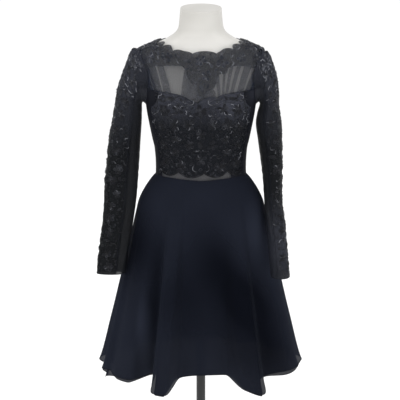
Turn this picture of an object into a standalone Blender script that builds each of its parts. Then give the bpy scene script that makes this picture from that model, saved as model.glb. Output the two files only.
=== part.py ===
"""Knee-length cocktail dress with long lace sleeves, worn by a limbless dress form on a stand.

Metres, +Z up, the front faces -Y and the origin is the centre of the stand's underside.
An angle of 0 degrees is the centre front, 90 the +X side and 180 the centre back.
The form is a stack of sections. Each cloth panel is a wall set off from that surface, each lace
piece is made from its panel's points moved out, and the skirt and sleeves are rings of their own.
"""

import math

import bmesh
import bpy
import numpy as np
from mathutils import Matrix, Vector

# ---- cloth and clearances
WALL = 0.0012            # cloth wall
EASE = 0.0033            # air between the form and the inside of the bodice
LACE_GAP = 0.0004        # air between a panel and the lace sewn on it
LACE_WALL = 0.0012       # corded lace
SEAM = 0.0004            # gap left where two pieces meet
SEAM_DEG = 0.2           # half of that gap at an upright seam, as an angle
CENTRE_BACK_SHARE = 0.004            # the same at the centre back, as a share of a back's width
ZIP_SHARE = 0.048        # where the back's lace ends beside the zip
SIDE = 90.0              # angle of the side seams

# ---- heights
FORM_BOTTOM = 0.800
UNDERARM = 1.250
SHOULDER_TIP = 1.391
HEM = 0.527

# ---- armhole, an oval on the side of the torso
ARMHOLE_MID = (UNDERARM + SHOULDER_TIP) / 2
ARMHOLE_RISE = (SHOULDER_TIP - UNDERARM) / 2
ARMHOLE_DEG = 27.0       # how far it reaches to the front and to the back
ARMHOLE_INSET = 0.0010   # the sleeve's edge is this much inside the hole's edge
ARMHOLE_INSET_DEG = 0.6

# ---- numbers of columns and rows
FRONT_COLUMNS = 32
BACK_COLUMNS = 12
LACE_COLUMNS = 22        # of the front's, in the middle
SKIRT_COLUMNS = 76
EVEN_COLUMNS = 0.25      # how much the skirt's columns keep to even angles, against even lengths of hem
SLEEVE_COLUMNS = 16      # also the points round the armhole, which set the panels' rows beside it
HEM_STEPS = 1441         # that the hem is measured in
FORM_COLUMNS = 28
BODICE_ROWS = 6          # between the waist and the underarm
SHOULDER_ROWS = [1.4000, 1.4115]     # heights at the side, over the armhole
GRID_PASSES = 12         # angle and height of a point settle each other

# ---- the form: a row for each section. Tuck is how far it stays inside the cloth's own sections
FORM_SECTIONS = dict(
    z=[0.800, 0.860, 0.920, 0.980, 1.030, 1.060, 1.085, 1.130, 1.160, 1.200, 1.230, 1.260, 1.300,
       1.340, 1.365, 1.385, 1.395, 1.405, 1.415, 1.4225, 1.433, 1.444, 1.456, 1.473, 1.505],
    half_width=[0.150, 0.163, 0.160, 0.142, 0.1235, 0.1190, 0.1182, 0.1210, 0.1275, 0.1355, 0.1410,
                0.1450, 0.1510, 0.1590, 0.1655, 0.1680, 0.1640, 0.1455, 0.1205, 0.1025, 0.0820,
                0.0670, 0.0600, 0.0575, 0.0545],
    front=[0.094, 0.103, 0.103, 0.094, 0.085, 0.083, 0.084, 0.090, 0.096, 0.104, 0.105, 0.100, 0.090,
           0.078, 0.069, 0.061, 0.057, 0.055, 0.0555, 0.056, 0.056, 0.055, 0.054, 0.053, 0.0525],
    back=[0.104, 0.118, 0.113, 0.096, 0.079, 0.072, 0.070, 0.072, 0.076, 0.083, 0.089, 0.094, 0.098,
          0.098, 0.092, 0.081, 0.072, 0.064, 0.058, 0.054, 0.050, 0.048, 0.047, 0.046, 0.046],
    centre_y=[0, 0, 0, 0, 0, 0, 0, 0, 0, 0, 0, 0, 0,
              0, 0, 0, -0.001, -0.002, -0.003, -0.004, -0.007, -0.010, -0.013, -0.017, -0.025],
    tuck=[0, 0, 0, 0, 0, 0, 0, 0, 0, 0, 0, 0, 0.001,
          0.002, 0.003, 0.003, 0.003, 0.003, 0.002, 0.001, 0, 0, 0, 0, 0],
)
SQUARENESS = 2.2         # exponent of every section, where 2 is an ellipse
NECK_CAP = dict(lean_deg=11.5, lean_below=0.35, edge=0.93, rise=0.0022)    # it leans forward
FORM_FOOT = dict(edge=0.96, rise=0.004)
BUST = dict(x=0.068, z=1.212, depth=0.016, wide=0.050, tall=0.045, front=3)    # front: fades to the side

# ---- lines drawn on the torso: height at each angle, the same on both sides
WAIST_SEAM = dict(angle=[0, 45, 90, 135, 180], z=[1.054, 1.060, 1.061, 1.061, 1.058])
INSET_HEIGHT = dict(angle=[0, 40, 60, 90], z=[0.024, 0.022, 0.015, 0.008])
SWEETHEART_HOLE_ROW = 5   # it ends on this point of the armhole, counted from the shoulder
COLLAR_HOLE_ROW = 3
SWEETHEART = dict(angle=[0, 8, 20, 44, 60, 90], z=[1.262, 1.268, 1.283, 1.291, 1.2935, 1.2935])
COLLAR_LOW = dict(angle=[0, 4, 7, 12, 17, 23, 29, 45, 60, 90],
                  z=[1.277, 1.286, 1.304, 1.313, 1.329, 1.344, 1.356, 1.358, 1.3475, 1.3475])
NECKLINE = dict(angle=[0, 13, 20, 27, 34, 41, 48, 60, 75, 90, 120, 150, 180],
                z=[1.3865, 1.3870, 1.3920, 1.3965, 1.4015, 1.4040, 1.4075, 1.4105, 1.4145, 1.41825,
                   1.4140, 1.4065, 1.4035])
BACK_LINE = dict(angle=[90, 120, 150, 180], z=[1.2935, 1.2935, 1.286, 1.280])
BACK_COLLAR = dict(angle=[90, 120, 150, 180], z=[1.3475, 1.3475, 1.350, 1.348])
# scallops of the lace: how many there are in half a turn, their size, an exponent that makes them
# rounder the smaller it is, and how far they are turned, in degrees, at the neckline only in front.
# Fade: they are shallower within these degrees of the shoulder seam
NECK_SCALLOPS = dict(count=10.0, size=0.0085, round=0.6, turn=3, fade=24)
WAIST_SCALLOPS = dict(count=6.0, size=0.017, round=0.7, least=0.12, turn=18)

# ---- skirt: the reach of its folds and of the valleys between them, and the layer under it
FOLD_SECTIONS = dict(
    z=[0.527, 0.550, 0.580, 0.640, 0.698, 0.757, 0.800, 0.850, 0.900, 0.950, 0.988, 1.017, 1.034,
       1.046, 1.061],
    half_width=[0.2885, 0.2805, 0.2720, 0.2570, 0.2420, 0.2275, 0.2165, 0.2040, 0.1920, 0.1800,
                0.1705, 0.1565, 0.1455, 0.1370, 0.1245],
    front=[0.2500, 0.2440, 0.2370, 0.2190, 0.2000, 0.1810, 0.1670, 0.1510, 0.1360, 0.1220, 0.1150,
           0.1070, 0.1010, 0.0960, 0.0885],
    back=[0.2560, 0.2500, 0.2430, 0.2250, 0.2065, 0.1905, 0.1780, 0.1640, 0.1500, 0.1340, 0.1220,
          0.1100, 0.1000, 0.0920, 0.0785],
)
VALLEY_SECTIONS = dict(
    z=[0.527, 0.600, 0.700, 0.800, 0.900, 0.950, 0.988, 1.017, 1.034, 1.046, 1.061],
    half_width=[0.2220, 0.2130, 0.2000, 0.1880, 0.1780, 0.1720, 0.1660, 0.1560, 0.1465, 0.1380, 0.1245],
    front=[0.1330, 0.1300, 0.1260, 0.1220, 0.1175, 0.1140, 0.1115, 0.1060, 0.1008, 0.0960, 0.0885],
    back=[0.1550, 0.1510, 0.1460, 0.1400, 0.1350, 0.1280, 0.1190, 0.1090, 0.1000, 0.0920, 0.0785],
)
SKIRT_ROWS = [0.0, 0.045, 0.110, 0.210, 0.330, 0.460, 0.600, 0.740, 0.880, 1.0]
UNDER_ROWS = dict(row=[1, 3, 5, 7, 9], gap=[0.0020, 0.0035, 0.0055, 0.0070, 0.0080])
UNDER_HEM = dict(            # how much lower than the top layer it hangs, most at the sides
    angle=[-180, -120, -96, -84, -70, -58, -44, -20, 0, 20, 44, 60, 74, 86, 98, 120, 180],
    drop=[0.006, 0.010, 0.026, 0.030, 0.020, 0.009, 0.009, 0.004, 0.003, 0.004, 0.006, 0.012, 0.013, 0.016,
          0.012, 0.008, 0.006],
)

# ---- folds that hang from the hip, a row for each ridge and valley: how far it reaches from the
# ---- inner sections (0) to the outer ones (1), and how much lower the hem hangs there
FOLDS = dict(
    angle=[-180, -167, -153, -140, -127, -114, -102, -90, -81, -73, -66, -57, -44, -32, -25.5, -17, -10.5,
           0, 16.5, 23, 33, 42, 52, 66, 76, 84, 90, 102, 114, 127, 140, 153, 167, 180],
    reach=[0.35, 0.95, 0.30, 1.00, 0.35, 0.90, 0.55, 1.00, 0.74, 0.96, 0.72, 0.82, 0.76, 0.00, 0.92, 0.96,
           0.14, 0.02, 0.00, 0.72, 1.05, 0.36, 0.42, 0.68, 0.80, 0.86, 0.96, 0.55, 0.90, 0.35, 1.00, 0.30,
           0.95, 0.35],
    drop=[0.004, 0.014, 0.002, 0.012, 0.000, 0.006, 0.002, 0.000, 0.000, 0.000, 0.000, 0.002, 0.002, 0.000,
          0.018, 0.018, 0.002, 0.000, 0.000, 0.010, 0.022, 0.002, 0.000, 0.000, 0.000, 0.000, 0.000, 0.002,
          0.006, 0.000, 0.012, 0.002, 0.014, 0.004],
)

# ---- sleeves below the arm: x of both edges, depth and how far forward the ring hangs
LEFT_ARM = dict(
    z=[1.252, 1.208, 1.152, 1.098, 1.050, 0.998, 0.938, 0.885, 0.839, 0.798],
    inner=[0.1590, 0.1602, 0.1640, 0.1675, 0.1710, 0.1755, 0.1840, 0.1930, 0.1990, 0.2045],
    outer=[0.2335, 0.2390, 0.2495, 0.2550, 0.2605, 0.2630, 0.2668, 0.2740, 0.2795, 0.2830],
    centre_y=[0.000, -0.002, -0.006, -0.012, -0.018, -0.026, -0.038, -0.052, -0.062, -0.073],
    depth=[0.086, 0.084, 0.078, 0.070, 0.063, 0.056, 0.048, 0.043, 0.038, 0.034],
)
RIGHT_ARM = dict(
    z=[1.252, 1.205, 1.152, 1.098, 1.050, 0.998, 0.943, 0.895, 0.848, 0.804],
    inner=[0.1570, 0.1490, 0.1550, 0.1625, 0.1680, 0.1715, 0.1740, 0.1790, 0.1830, 0.1870],
    outer=[0.2115, 0.2165, 0.2195, 0.2205, 0.2200, 0.2195, 0.2262, 0.2300, 0.2335, 0.2370],
    centre_y=[0.000, -0.002, -0.006, -0.014, -0.024, -0.038, -0.062, -0.085, -0.104, -0.124],
    depth=[0.100, 0.098, 0.094, 0.088, 0.083, 0.079, 0.074, 0.070, 0.066, 0.062],
)
# sleeve head: the ring's plane turns about the underarm, from upright to level
LEFT_HEAD = dict(turn=[0, 11, 17, 23, 34, 52, 76, 90],
                 reach=[0.1460, 0.1460, 0.1350, 0.1155, 0.1000, 0.0820, 0.0780, 0.0765])
RIGHT_HEAD = dict(turn=[0, 5, 13, 22, 29, 46, 71, 90],
                  reach=[0.1450, 0.1445, 0.1355, 0.1085, 0.0950, 0.0730, 0.0580, 0.0550])
HEAD_TURNS = [11, 23, 40, 63, 90]
HEAD_BLEND = [0.8, 1.0, 1.0, 1.0, 1.0]
HEAD_DEPTH = 0.094       # of the ring at the armhole
UNDERARM_X = 0.1545      # the line that the rings turn about
UNDERARM_Z = 1.252
UNDERARM_RADIUS = 0.0045
SLEEVE_LACE_COLUMNS = 10 # on each sleeve's outside

# ---- zip at the centre back
ZIP_WIDTH = 0.007
ZIP_EDGE = 0.0008        # thickness of the closed zip at its edges
ZIP_CROWN = 0.0014       # and in the middle
ZIP_TOP_SHARE = 0.70     # of the last row under the neckline
SLIDER = dict(below=0.0006, width=0.0072, length=0.0082, thick=0.0022)
BRIDGE = dict(width=0.0018, length=0.0080, leg=0.0014, clear=0.0026, bar=0.0012)
PULL = dict(width=0.0058, length=0.0240, thick=0.0011, window=0.0030, frame=0.0012, reach=0.0058)

# ---- stand
POLE_RADIUS = 0.0127
SOCKET = dict(radius=0.024, top_radius=0.036, height=0.040, collar=0.012, rim=0.006)
BASE = dict(radius=0.180, thickness=0.010, edge=0.002, boss_radius=0.030, boss_height=0.030, fillet=0.004)
ROUND_STEPS = 24

COLOURS = dict(
    navy_chiffon=(0.012, 0.015, 0.026, 0.75),
    navy_satin=(0.010, 0.012, 0.020, 0.45),
    black_tulle=(0.030, 0.030, 0.034, 0.80),
    black_lace=(0.012, 0.012, 0.014, 0.70),
    white_form=(0.70, 0.68, 0.64, 0.40),
    black_steel=(0.012, 0.012, 0.013, 0.35),
    zip_metal=(0.020, 0.020, 0.024, 0.30),
)
METALS = {"zip_metal"}


# ---------------------------------------------------------------- tables and surfaces
def smooth(table, column, at, key="z"):
    """Reads one column of a table by a smooth curve that never overshoots its rows."""
    xs, ys = np.asarray(table[key], float), np.asarray(table[column], float)
    step, rise = np.diff(xs), np.diff(ys)
    slope = rise / step
    tangent = np.zeros_like(ys)
    tangent[0], tangent[-1] = slope[0], slope[-1]
    for i in range(1, len(xs) - 1):
        if slope[i - 1] * slope[i] > 0:
            before, after = 2 * step[i] + step[i - 1], step[i] + 2 * step[i - 1]
            tangent[i] = (before + after) / (before / slope[i - 1] + after / slope[i])
    at = np.clip(np.asarray(at, float), xs[0], xs[-1])
    i = np.clip(np.searchsorted(xs, at) - 1, 0, len(xs) - 2)
    h = step[i]
    t = (at - xs[i]) / h
    return (ys[i] * (1 + 2 * t) * (1 - t) ** 2 + tangent[i] * h * t * (1 - t) ** 2
            + ys[i + 1] * t * t * (3 - 2 * t) + tangent[i + 1] * h * t * t * (t - 1))


def line(table, angle):
    """Height of a line on the torso at an angle, in degrees, the same on both sides."""
    return smooth(table, "z", np.abs(angle), key="angle")


def section_point(table, angle, z, centre=0.0):
    """Point of a section at an angle in degrees: (..., 3)."""
    angle, z = np.broadcast_arrays(np.radians(angle), np.asarray(z, float))
    across, along = np.sin(angle), np.cos(angle)
    power = 2 / SQUARENESS
    depth = np.where(along >= 0, smooth(table, "front", z), smooth(table, "back", z))
    x = smooth(table, "half_width", z) * np.sign(across) * np.abs(across) ** power
    y = centre - depth * np.sign(along) * np.abs(along) ** power
    return np.stack([x, y, z], axis=-1)


def torso_point(angle, z):
    """Point of the form's own surface, with its bust."""
    point = section_point(FORM_SECTIONS, angle, z, smooth(FORM_SECTIONS, "centre_y", z))
    x, height = point[..., 0], point[..., 2]
    facing = np.clip(np.cos(np.radians(angle)) * BUST["front"], 0, 1)
    swell = sum(np.exp(-((x - side * BUST["x"]) / BUST["wide"]) ** 2) for side in (-1, 1))
    point[..., 1] -= BUST["depth"] * facing * swell * np.exp(-((height - BUST["z"]) / BUST["tall"]) ** 2)
    return point


def torso_normal(angle, z, turn=0.05, step=1e-4):
    """Outward normal of the form's surface, from points a small turn and a small step away."""
    across = torso_point(angle + turn, z) - torso_point(angle - turn, z)
    up = torso_point(angle, z + step) - torso_point(angle, z - step)
    normal = np.cross(across, up)
    return normal / np.linalg.norm(normal, axis=-1, keepdims=True)


def hole_height(row):
    """Height of a point of the armhole, counted from the shoulder."""
    return ARMHOLE_MID + ARMHOLE_RISE * math.cos(2 * math.pi * row / SLEEVE_COLUMNS)


def armhole_edge(z):
    """Angle from the centre front where a panel stops: 90 at a seam, less in the armhole."""
    inside = np.clip(1 - ((z - ARMHOLE_MID) / ARMHOLE_RISE) ** 2, 0, 1)
    return 90 - ARMHOLE_DEG * np.sqrt(inside)


# ---------------------------------------------------------------- meshes
def material(name):
    made = bpy.data.materials.get(name)
    if made is None:
        made = bpy.data.materials.new(name)
        made.use_nodes = True
        shader = made.node_tree.nodes["Principled BSDF"]
        *colour, rough = COLOURS[name]
        shader.inputs["Base Color"].default_value = (*colour, 1)
        shader.inputs["Roughness"].default_value = rough
        shader.inputs["Metallic"].default_value = 1.0 if name in METALS else 0.0
        made.diffuse_color = (*colour, 1)
    return made


def solid(name, points, faces, finish, smooth_angle=50):
    """A named object from points and faces, its normals turned outwards."""
    mesh = bpy.data.meshes.new(name)
    mesh.from_pydata([tuple(p) for p in points], [], faces)
    work = bmesh.new()
    work.from_mesh(mesh)
    bmesh.ops.recalc_face_normals(work, faces=work.faces)
    work.to_mesh(mesh)
    work.free()
    mesh.shade_smooth()
    mesh.set_sharp_from_angle(angle=math.radians(smooth_angle))
    mesh.materials.append(material(finish))
    made = bpy.data.objects.new(name, mesh)
    bpy.context.scene.collection.objects.link(made)
    return made


def wall(name, outer, inner, closed, finish):
    """A cloth wall between two grids of points, rows by columns, triangled the same way on both."""
    rows, columns = outer.shape[:2]
    side = rows * columns
    spans = columns if closed else columns - 1
    faces = []

    def quad(a, b, c, d):
        faces.extend([(a, b, c), (a, c, d)])

    for r in range(rows - 1):
        for c in range(spans):
            right = (c + 1) % columns
            a, b = r * columns + c, r * columns + right
            d, e = (r + 1) * columns + c, (r + 1) * columns + right
            quad(a, b, e, d)
            faces += [(side + a, side + e, side + b), (side + a, side + d, side + e)]
    for c in range(spans):
        right = (c + 1) % columns
        last = (rows - 1) * columns
        quad(c, side + c, side + right, right)
        quad(last + right, side + last + right, side + last + c, last + c)
    if not closed:
        for r in range(rows - 1):
            a, d = r * columns, (r + 1) * columns
            quad(d, side + d, side + a, a)
            quad(a + columns - 1, side + a + columns - 1, side + d + columns - 1, d + columns - 1)
    points = np.concatenate([outer.reshape(-1, 3), inner.reshape(-1, 3)])
    return solid(name, points, faces, finish)


def grid_normals(grid, closed):
    """Normals of a grid whose columns run with the angle and whose rows run up."""
    if closed:
        across = np.roll(grid, -1, axis=1) - np.roll(grid, 1, axis=1)
    else:
        across = np.gradient(grid, axis=1)
    up = np.gradient(grid, axis=0)
    normal = np.cross(across, up)
    return normal / np.linalg.norm(normal, axis=-1, keepdims=True)


def turned(name, profile, finish):
    """A round solid from (radius, height) pairs, bottom to top, closed on the axis."""
    points, faces = [(0, 0, profile[0][1])], []
    for radius, height in profile:
        for i in range(ROUND_STEPS):
            turn = 2 * math.pi * i / ROUND_STEPS
            points.append((radius * math.cos(turn), radius * math.sin(turn), height))
    points.append((0, 0, profile[-1][1]))
    top, last = len(points) - 1, 1 + (len(profile) - 1) * ROUND_STEPS
    for i in range(ROUND_STEPS):
        j = (i + 1) % ROUND_STEPS
        faces += [(0, 1 + j, 1 + i), (top, last + i, last + j)]
        for level in range(len(profile) - 1):
            low = 1 + level * ROUND_STEPS
            faces.append((low + i, low + j, low + ROUND_STEPS + j, low + ROUND_STEPS + i))
    return solid(name, points, faces, finish, smooth_angle=35)


# ---------------------------------------------------------------- the form and its stand
def build_form():
    """The torso: rings of the form's surface, closed by a flat foot and a neck cap that leans forward."""
    heights = np.array(FORM_SECTIONS["z"])
    angles = np.arange(FORM_COLUMNS) * 360 / FORM_COLUMNS - 180
    rings = [lifted(angles, z + np.zeros_like(angles), -tuck + np.zeros_like(angles))
             for z, tuck in zip(heights, FORM_SECTIONS["tuck"])]
    lean = math.tan(math.radians(NECK_CAP["lean_deg"]))
    for ring, share in ((rings[-1], 1.0), (rings[-2], NECK_CAP["lean_below"])):
        ring[:, 2] += share * lean * (ring[:, 1] - ring[:, 1].mean())
    edge = rings[-1]
    middle = edge.mean(axis=0)
    cap = middle + (edge - middle) * NECK_CAP["edge"] + [0, 0, NECK_CAP["rise"]]
    rings.append(cap)
    foot = rings[0] * [FORM_FOOT["edge"], FORM_FOOT["edge"], 1]
    rings[0] = rings[0] + [0, 0, FORM_FOOT["rise"]]
    rings.insert(0, foot)
    points = [tuple(foot.mean(axis=0))] + [tuple(p) for ring in rings for p in ring]
    points.append(tuple(cap.mean(axis=0)))
    top, faces = len(points) - 1, []
    last = 1 + (len(rings) - 1) * FORM_COLUMNS
    for i in range(FORM_COLUMNS):
        j = (i + 1) % FORM_COLUMNS
        faces += [(0, 1 + j, 1 + i), (top, last + i, last + j)]
        for level in range(len(rings) - 1):
            a = 1 + level * FORM_COLUMNS
            b = a + FORM_COLUMNS
            faces += [(a + i, a + j, b + j), (a + i, b + j, b + i)]
    solid("form_torso", points, faces, "white_form")


def build_stand():
    """A tapered socket under the torso, a round pole and a flat round base."""
    top = FORM_BOTTOM - SEAM
    foot = top - SOCKET["height"]
    narrow, wide = SOCKET["radius"], SOCKET["top_radius"]
    turned("stand_socket", [(narrow, foot), (narrow, foot + SOCKET["collar"]), (wide, top - SOCKET["rim"]),
                            (wide, top)], "black_steel")
    turned("stand_pole", [(POLE_RADIUS, BASE["boss_height"] + SEAM), (POLE_RADIUS, foot - SEAM)],
           "black_steel")
    r, t, edge, fillet = BASE["radius"], BASE["thickness"], BASE["edge"], BASE["fillet"]
    boss, boss_top = BASE["boss_radius"], BASE["boss_height"]
    turned("stand_base", [(r, 0), (r, t - edge), (r - edge, t), (boss + fillet, t), (boss, t + fillet),
                          (boss, boss_top - edge), (boss - edge, boss_top)], "black_steel")


# ---------------------------------------------------------------- the bodice
def torso_grid(share, lines, between, back=False):
    """(angle, height) of a panel's points. The lines are its level edges.

    Between gives the heights at the side seam of the rows between two lines, and every column
    takes its rows in the same proportions. A column keeps its share of the way from the centre to
    the side seam or armhole.
    """
    rows = []
    for low, high, heights in zip(lines, lines[1:], between):
        foot, rise = low(SIDE), high(SIDE) - low(SIDE)
        rows += [(low, high, (z - foot) / rise) for z in [foot, *heights]]
    rows.append((lines[-1], lines[-1], 0.0))
    angle = np.zeros((len(rows), len(share)))
    height = np.zeros_like(angle)
    for row, (low, high, step) in enumerate(rows):
        at = np.abs(share) * SIDE
        for _ in range(GRID_PASSES):
            seen = np.sign(share) * (180 - at if back else at)
            z = low(seen) * (1 - step) + high(seen) * step
            at = np.abs(share) * (armhole_edge(z) - SEAM_DEG)
        angle[row] = np.sign(share) * (180 - at if back else at)
        height[row] = z
    return angle, height


def lifted(angle, height, lift):
    """Points of the torso's surface moved out."""
    return torso_point(angle, height) + torso_normal(angle, height) * np.asarray(lift)[..., None]


def panel(name, grid, finish):
    """A cloth panel that stands off the form by the ease."""
    angle, height = grid
    flat = np.zeros_like(angle)
    return wall(name, lifted(angle, height, flat + EASE + WALL), lifted(angle, height, flat + EASE),
                False, finish)


def lace(name, grid):
    """Lace on a panel: the panel's own points moved out."""
    angle, height = grid
    ground = np.zeros_like(angle) + EASE + WALL + LACE_GAP
    return wall(name, lifted(angle, height, ground + LACE_WALL), lifted(angle, height, ground),
                False, "black_lace")


def neck_edge(angle):
    """The neckline with its scallops, round at the top and pointed between."""
    turned = angle - NECK_SCALLOPS["turn"] * (1 + np.cos(np.radians(angle))) / 2
    wave = np.abs(np.cos(NECK_SCALLOPS["count"] * np.radians(turned))) ** NECK_SCALLOPS["round"]
    full = np.clip(np.abs(np.abs(angle) - SIDE) / NECK_SCALLOPS["fade"], 0, 1)
    return line(NECKLINE, angle) + NECK_SCALLOPS["size"] * (0.5 + (wave - 0.5) * full)


def waist_edge(angle):
    return line(WAIST_SEAM, angle) + SEAM / 2


def inset_top(angle):
    return line(WAIST_SEAM, angle) + smooth(INSET_HEIGHT, "z", np.abs(angle), key="angle")


def scallop_foot(angle):
    """Lower edge of the bodice's lace: round scallops over the sheer inset."""
    turned = np.radians(angle - WAIST_SCALLOPS["turn"])
    wave = np.abs(np.cos(turned * WAIST_SCALLOPS["count"])) ** WAIST_SCALLOPS["round"]
    room = smooth(INSET_HEIGHT, "z", np.abs(angle), key="angle") / INSET_HEIGHT["z"][0]
    least = WAIST_SCALLOPS["least"]
    return inset_top(angle) - WAIST_SCALLOPS["size"] * room * (least + (1 - least) * wave)


def shifted(edge, by):
    """A line moved up, or down."""
    return lambda angle: edge(angle) + by


def bodice_rows():
    """Heights at the side seam of the bodice's rows, and of the yoke's below and beside its lace."""
    foot = float(inset_top(SIDE))
    below = list(np.linspace(foot, UNDERARM, BODICE_ROWS + 1)[1:])
    beside = [hole_height(row) for row in range(SLEEVE_COLUMNS // 2 - 1, SWEETHEART_HOLE_ROW, -1)]
    yoke = [hole_height(row) for row in range(SWEETHEART_HOLE_ROW - 1, COLLAR_HOLE_ROW, -1)]
    trim = [hole_height(row) for row in range(COLLAR_HOLE_ROW - 1, -1, -1)] + SHOULDER_ROWS
    return below + beside, yoke, trim


def build_front():
    share = np.linspace(-1, 1, FRONT_COLUMNS + 1)
    sweetheart, collar = (lambda a: line(SWEETHEART, a)), (lambda a: line(COLLAR_LOW, a))
    rows, yoke_rows, trim_rows = bodice_rows()
    bodice = torso_grid(share, [shifted(inset_top, SEAM / 2), shifted(sweetheart, -SEAM / 2)], [rows])
    inset = torso_grid(share, [waist_edge, scallop_foot, shifted(inset_top, -SEAM / 2)], [[], []])
    yoke = torso_grid(share, [shifted(sweetheart, SEAM / 2), collar, neck_edge], [yoke_rows, trim_rows])
    panel("bodice_front", bodice, "navy_satin")
    panel("waist_inset", inset, "black_tulle")
    panel("yoke_front", yoke, "black_tulle")
    lace("lace_collar_front", tuple(part[len(yoke_rows) + 1:] for part in yoke))
    first = (FRONT_COLUMNS - LACE_COLUMNS) // 2
    middle = slice(first, first + LACE_COLUMNS + 1)
    lace("lace_bodice", tuple(np.concatenate([low[1:2, middle], top[:, middle]])
                              for low, top in zip(inset, bodice)))


def back_grids(side):
    """(bodice, yoke) of one back. The share starts just off the centre, under the zip."""
    rows, yoke_rows, trim_rows = bodice_rows()
    top, collar = (lambda a: line(BACK_LINE, a)), (lambda a: line(BACK_COLLAR, a))
    share = side * np.array([CENTRE_BACK_SHARE, *np.linspace(ZIP_SHARE, 1, BACK_COLUMNS)])
    bodice = torso_grid(share, [waist_edge, shifted(top, -SEAM / 2)], [rows], back=True)
    yoke = torso_grid(share, [shifted(top, SEAM / 2), collar, neck_edge], [yoke_rows, trim_rows], back=True)
    return bodice, yoke


def build_back():
    """Left and right backs, which meet under the zip at the centre back."""
    for side, name in ((-1, "left"), (1, "right")):
        bodice, yoke = back_grids(side)
        panel(f"bodice_back_{name}", bodice, "navy_satin")
        panel(f"yoke_back_{name}", yoke, "black_tulle")
        trim = len(bodice_rows()[1]) + 1
        lace(f"lace_collar_back_{name}", tuple(part[trim:, 1:] for part in yoke))


# ---------------------------------------------------------------- the skirt
def skirt_ring(angle, down):
    """One ring of the skirt. Down is 0 at the waist seam and 1 at the hem."""
    top = line(WAIST_SEAM, angle) - SEAM / 2
    highest = FOLD_SECTIONS["z"][-1]
    level = highest + (HEM - highest) * down + np.zeros_like(angle)
    crest = section_point(FOLD_SECTIONS, angle, level)
    valley = section_point(VALLEY_SECTIONS, angle, level)
    reach, drop = (smooth(FOLDS, column, angle, key="angle") for column in ("reach", "drop"))
    ring = valley + (crest - valley) * reach[:, None]
    ring[:, 2] = top + (HEM - top) * down - drop * down ** 2
    return ring


def skirt_angles(count):
    """Angles of the columns, closer together where the hem turns into a fold."""
    fine = np.linspace(-180, 180, HEM_STEPS)
    hem = skirt_ring(fine, 1.0)
    length = np.concatenate([[0], np.cumsum(np.linalg.norm(np.diff(hem, axis=0), axis=1))])
    travel = length / length[-1] + EVEN_COLUMNS * (fine + 180) / 360
    return np.interp(np.arange(count) / count * travel[-1], travel, fine)


def build_skirt():
    """The top layer hangs from the waist seam. The layer under it is its own points moved in."""
    angle = skirt_angles(SKIRT_COLUMNS)
    outer = np.array([skirt_ring(angle, down) for down in SKIRT_ROWS])
    seam = outer[0, :, 2].copy()
    outer[0] = lifted(angle, seam, np.zeros_like(angle) + EASE + WALL)
    outward = grid_normals(outer[::-1], True)[::-1]
    inner = outer - outward * WALL
    inner[0] = lifted(angle, seam, np.zeros_like(angle) + EASE)
    inner[-1, :, 2] = outer[-1, :, 2]
    wall("skirt_top_layer", outer[::-1], inner[::-1], True, "navy_chiffon")
    rows = UNDER_ROWS["row"]
    gap = np.array(UNDER_ROWS["gap"])[:, None, None]
    under = outer[rows] - outward[rows] * (WALL + gap)
    under[-1, :, 2] = outer[-1, :, 2] - smooth(UNDER_HEM, "drop", angle, key="angle")
    lining = under - outward[rows] * WALL
    lining[-1, :, 2] = under[-1, :, 2]
    wall("skirt_under_layer", under[::-1], lining[::-1], True, "navy_chiffon")


# ---------------------------------------------------------------- the sleeves
def armhole_ring(side, round_angle):
    """The sleeve's top edge, just inside the armhole: 0 is the shoulder, 90 the front, 180 the underarm."""
    z = ARMHOLE_MID + (ARMHOLE_RISE - ARMHOLE_INSET) * np.cos(round_angle)
    across = (ARMHOLE_DEG - ARMHOLE_INSET_DEG) * np.sin(round_angle)
    return lifted(side * (90 - across), z, np.zeros_like(z) + EASE + WALL)


def oval(middle, along, half_length, half_depth, round_angle):
    """A ring round a middle: along points from the body outwards, and 90 degrees is the front."""
    out = np.outer(np.cos(round_angle) * half_length, along)
    out[:, 1] -= np.sin(round_angle) * half_depth
    return middle + out


def sleeve_rings(side, head, arm):
    round_angle = 2 * math.pi * np.arange(SLEEVE_COLUMNS) / SLEEVE_COLUMNS
    hole = armhole_ring(side, round_angle)
    rings = [hole]
    pivot = np.array([side * UNDERARM_X, 0, UNDERARM_Z])
    for turn, blend in zip(HEAD_TURNS, HEAD_BLEND):
        tilt = math.radians(turn)
        along = np.array([side * math.sin(tilt), 0, math.cos(tilt)])
        reach = float(smooth(head, "reach", turn, key="turn"))
        depth = HEAD_DEPTH + (arm["depth"][0] - HEAD_DEPTH) * turn / 90
        middle = pivot + along * (reach + UNDERARM_RADIUS) / 2
        ring = oval(middle, along, (reach - UNDERARM_RADIUS) / 2, depth / 2, round_angle)
        rings.append(hole * (1 - blend) + ring * blend)
    for i in range(1, len(arm["z"])):
        inner, outer = side * arm["inner"][i], side * arm["outer"][i]
        middle = np.array([(inner + outer) / 2, arm["centre_y"][i], arm["z"][i]])
        along = np.array([side, 0, 0])
        rings.append(oval(middle, along, abs(outer - inner) / 2, arm["depth"][i] / 2, round_angle))
    return np.array(rings)


def build_sleeve(name, side, head, arm):
    outer = sleeve_rings(side, head, arm)
    outward = side * grid_normals(outer, True)
    inner = outer - outward * WALL
    inner[-1, :, 2] = outer[-1, :, 2]
    wall(f"sleeve_{name}", outer, inner, True, "black_tulle")
    return outer, outward


def build_sleeve_lace(name, outer, outward):
    """Lace down the outside of the sleeve: the sleeve's own points moved out."""
    half = SLEEVE_LACE_COLUMNS // 2
    columns = np.arange(-half, half + 1) % SLEEVE_COLUMNS
    ground = outer[1:, columns] + outward[1:, columns] * LACE_GAP
    wall(f"lace_sleeve_{name}", ground + outward[1:, columns] * LACE_WALL, ground, False, "black_lace")


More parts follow.
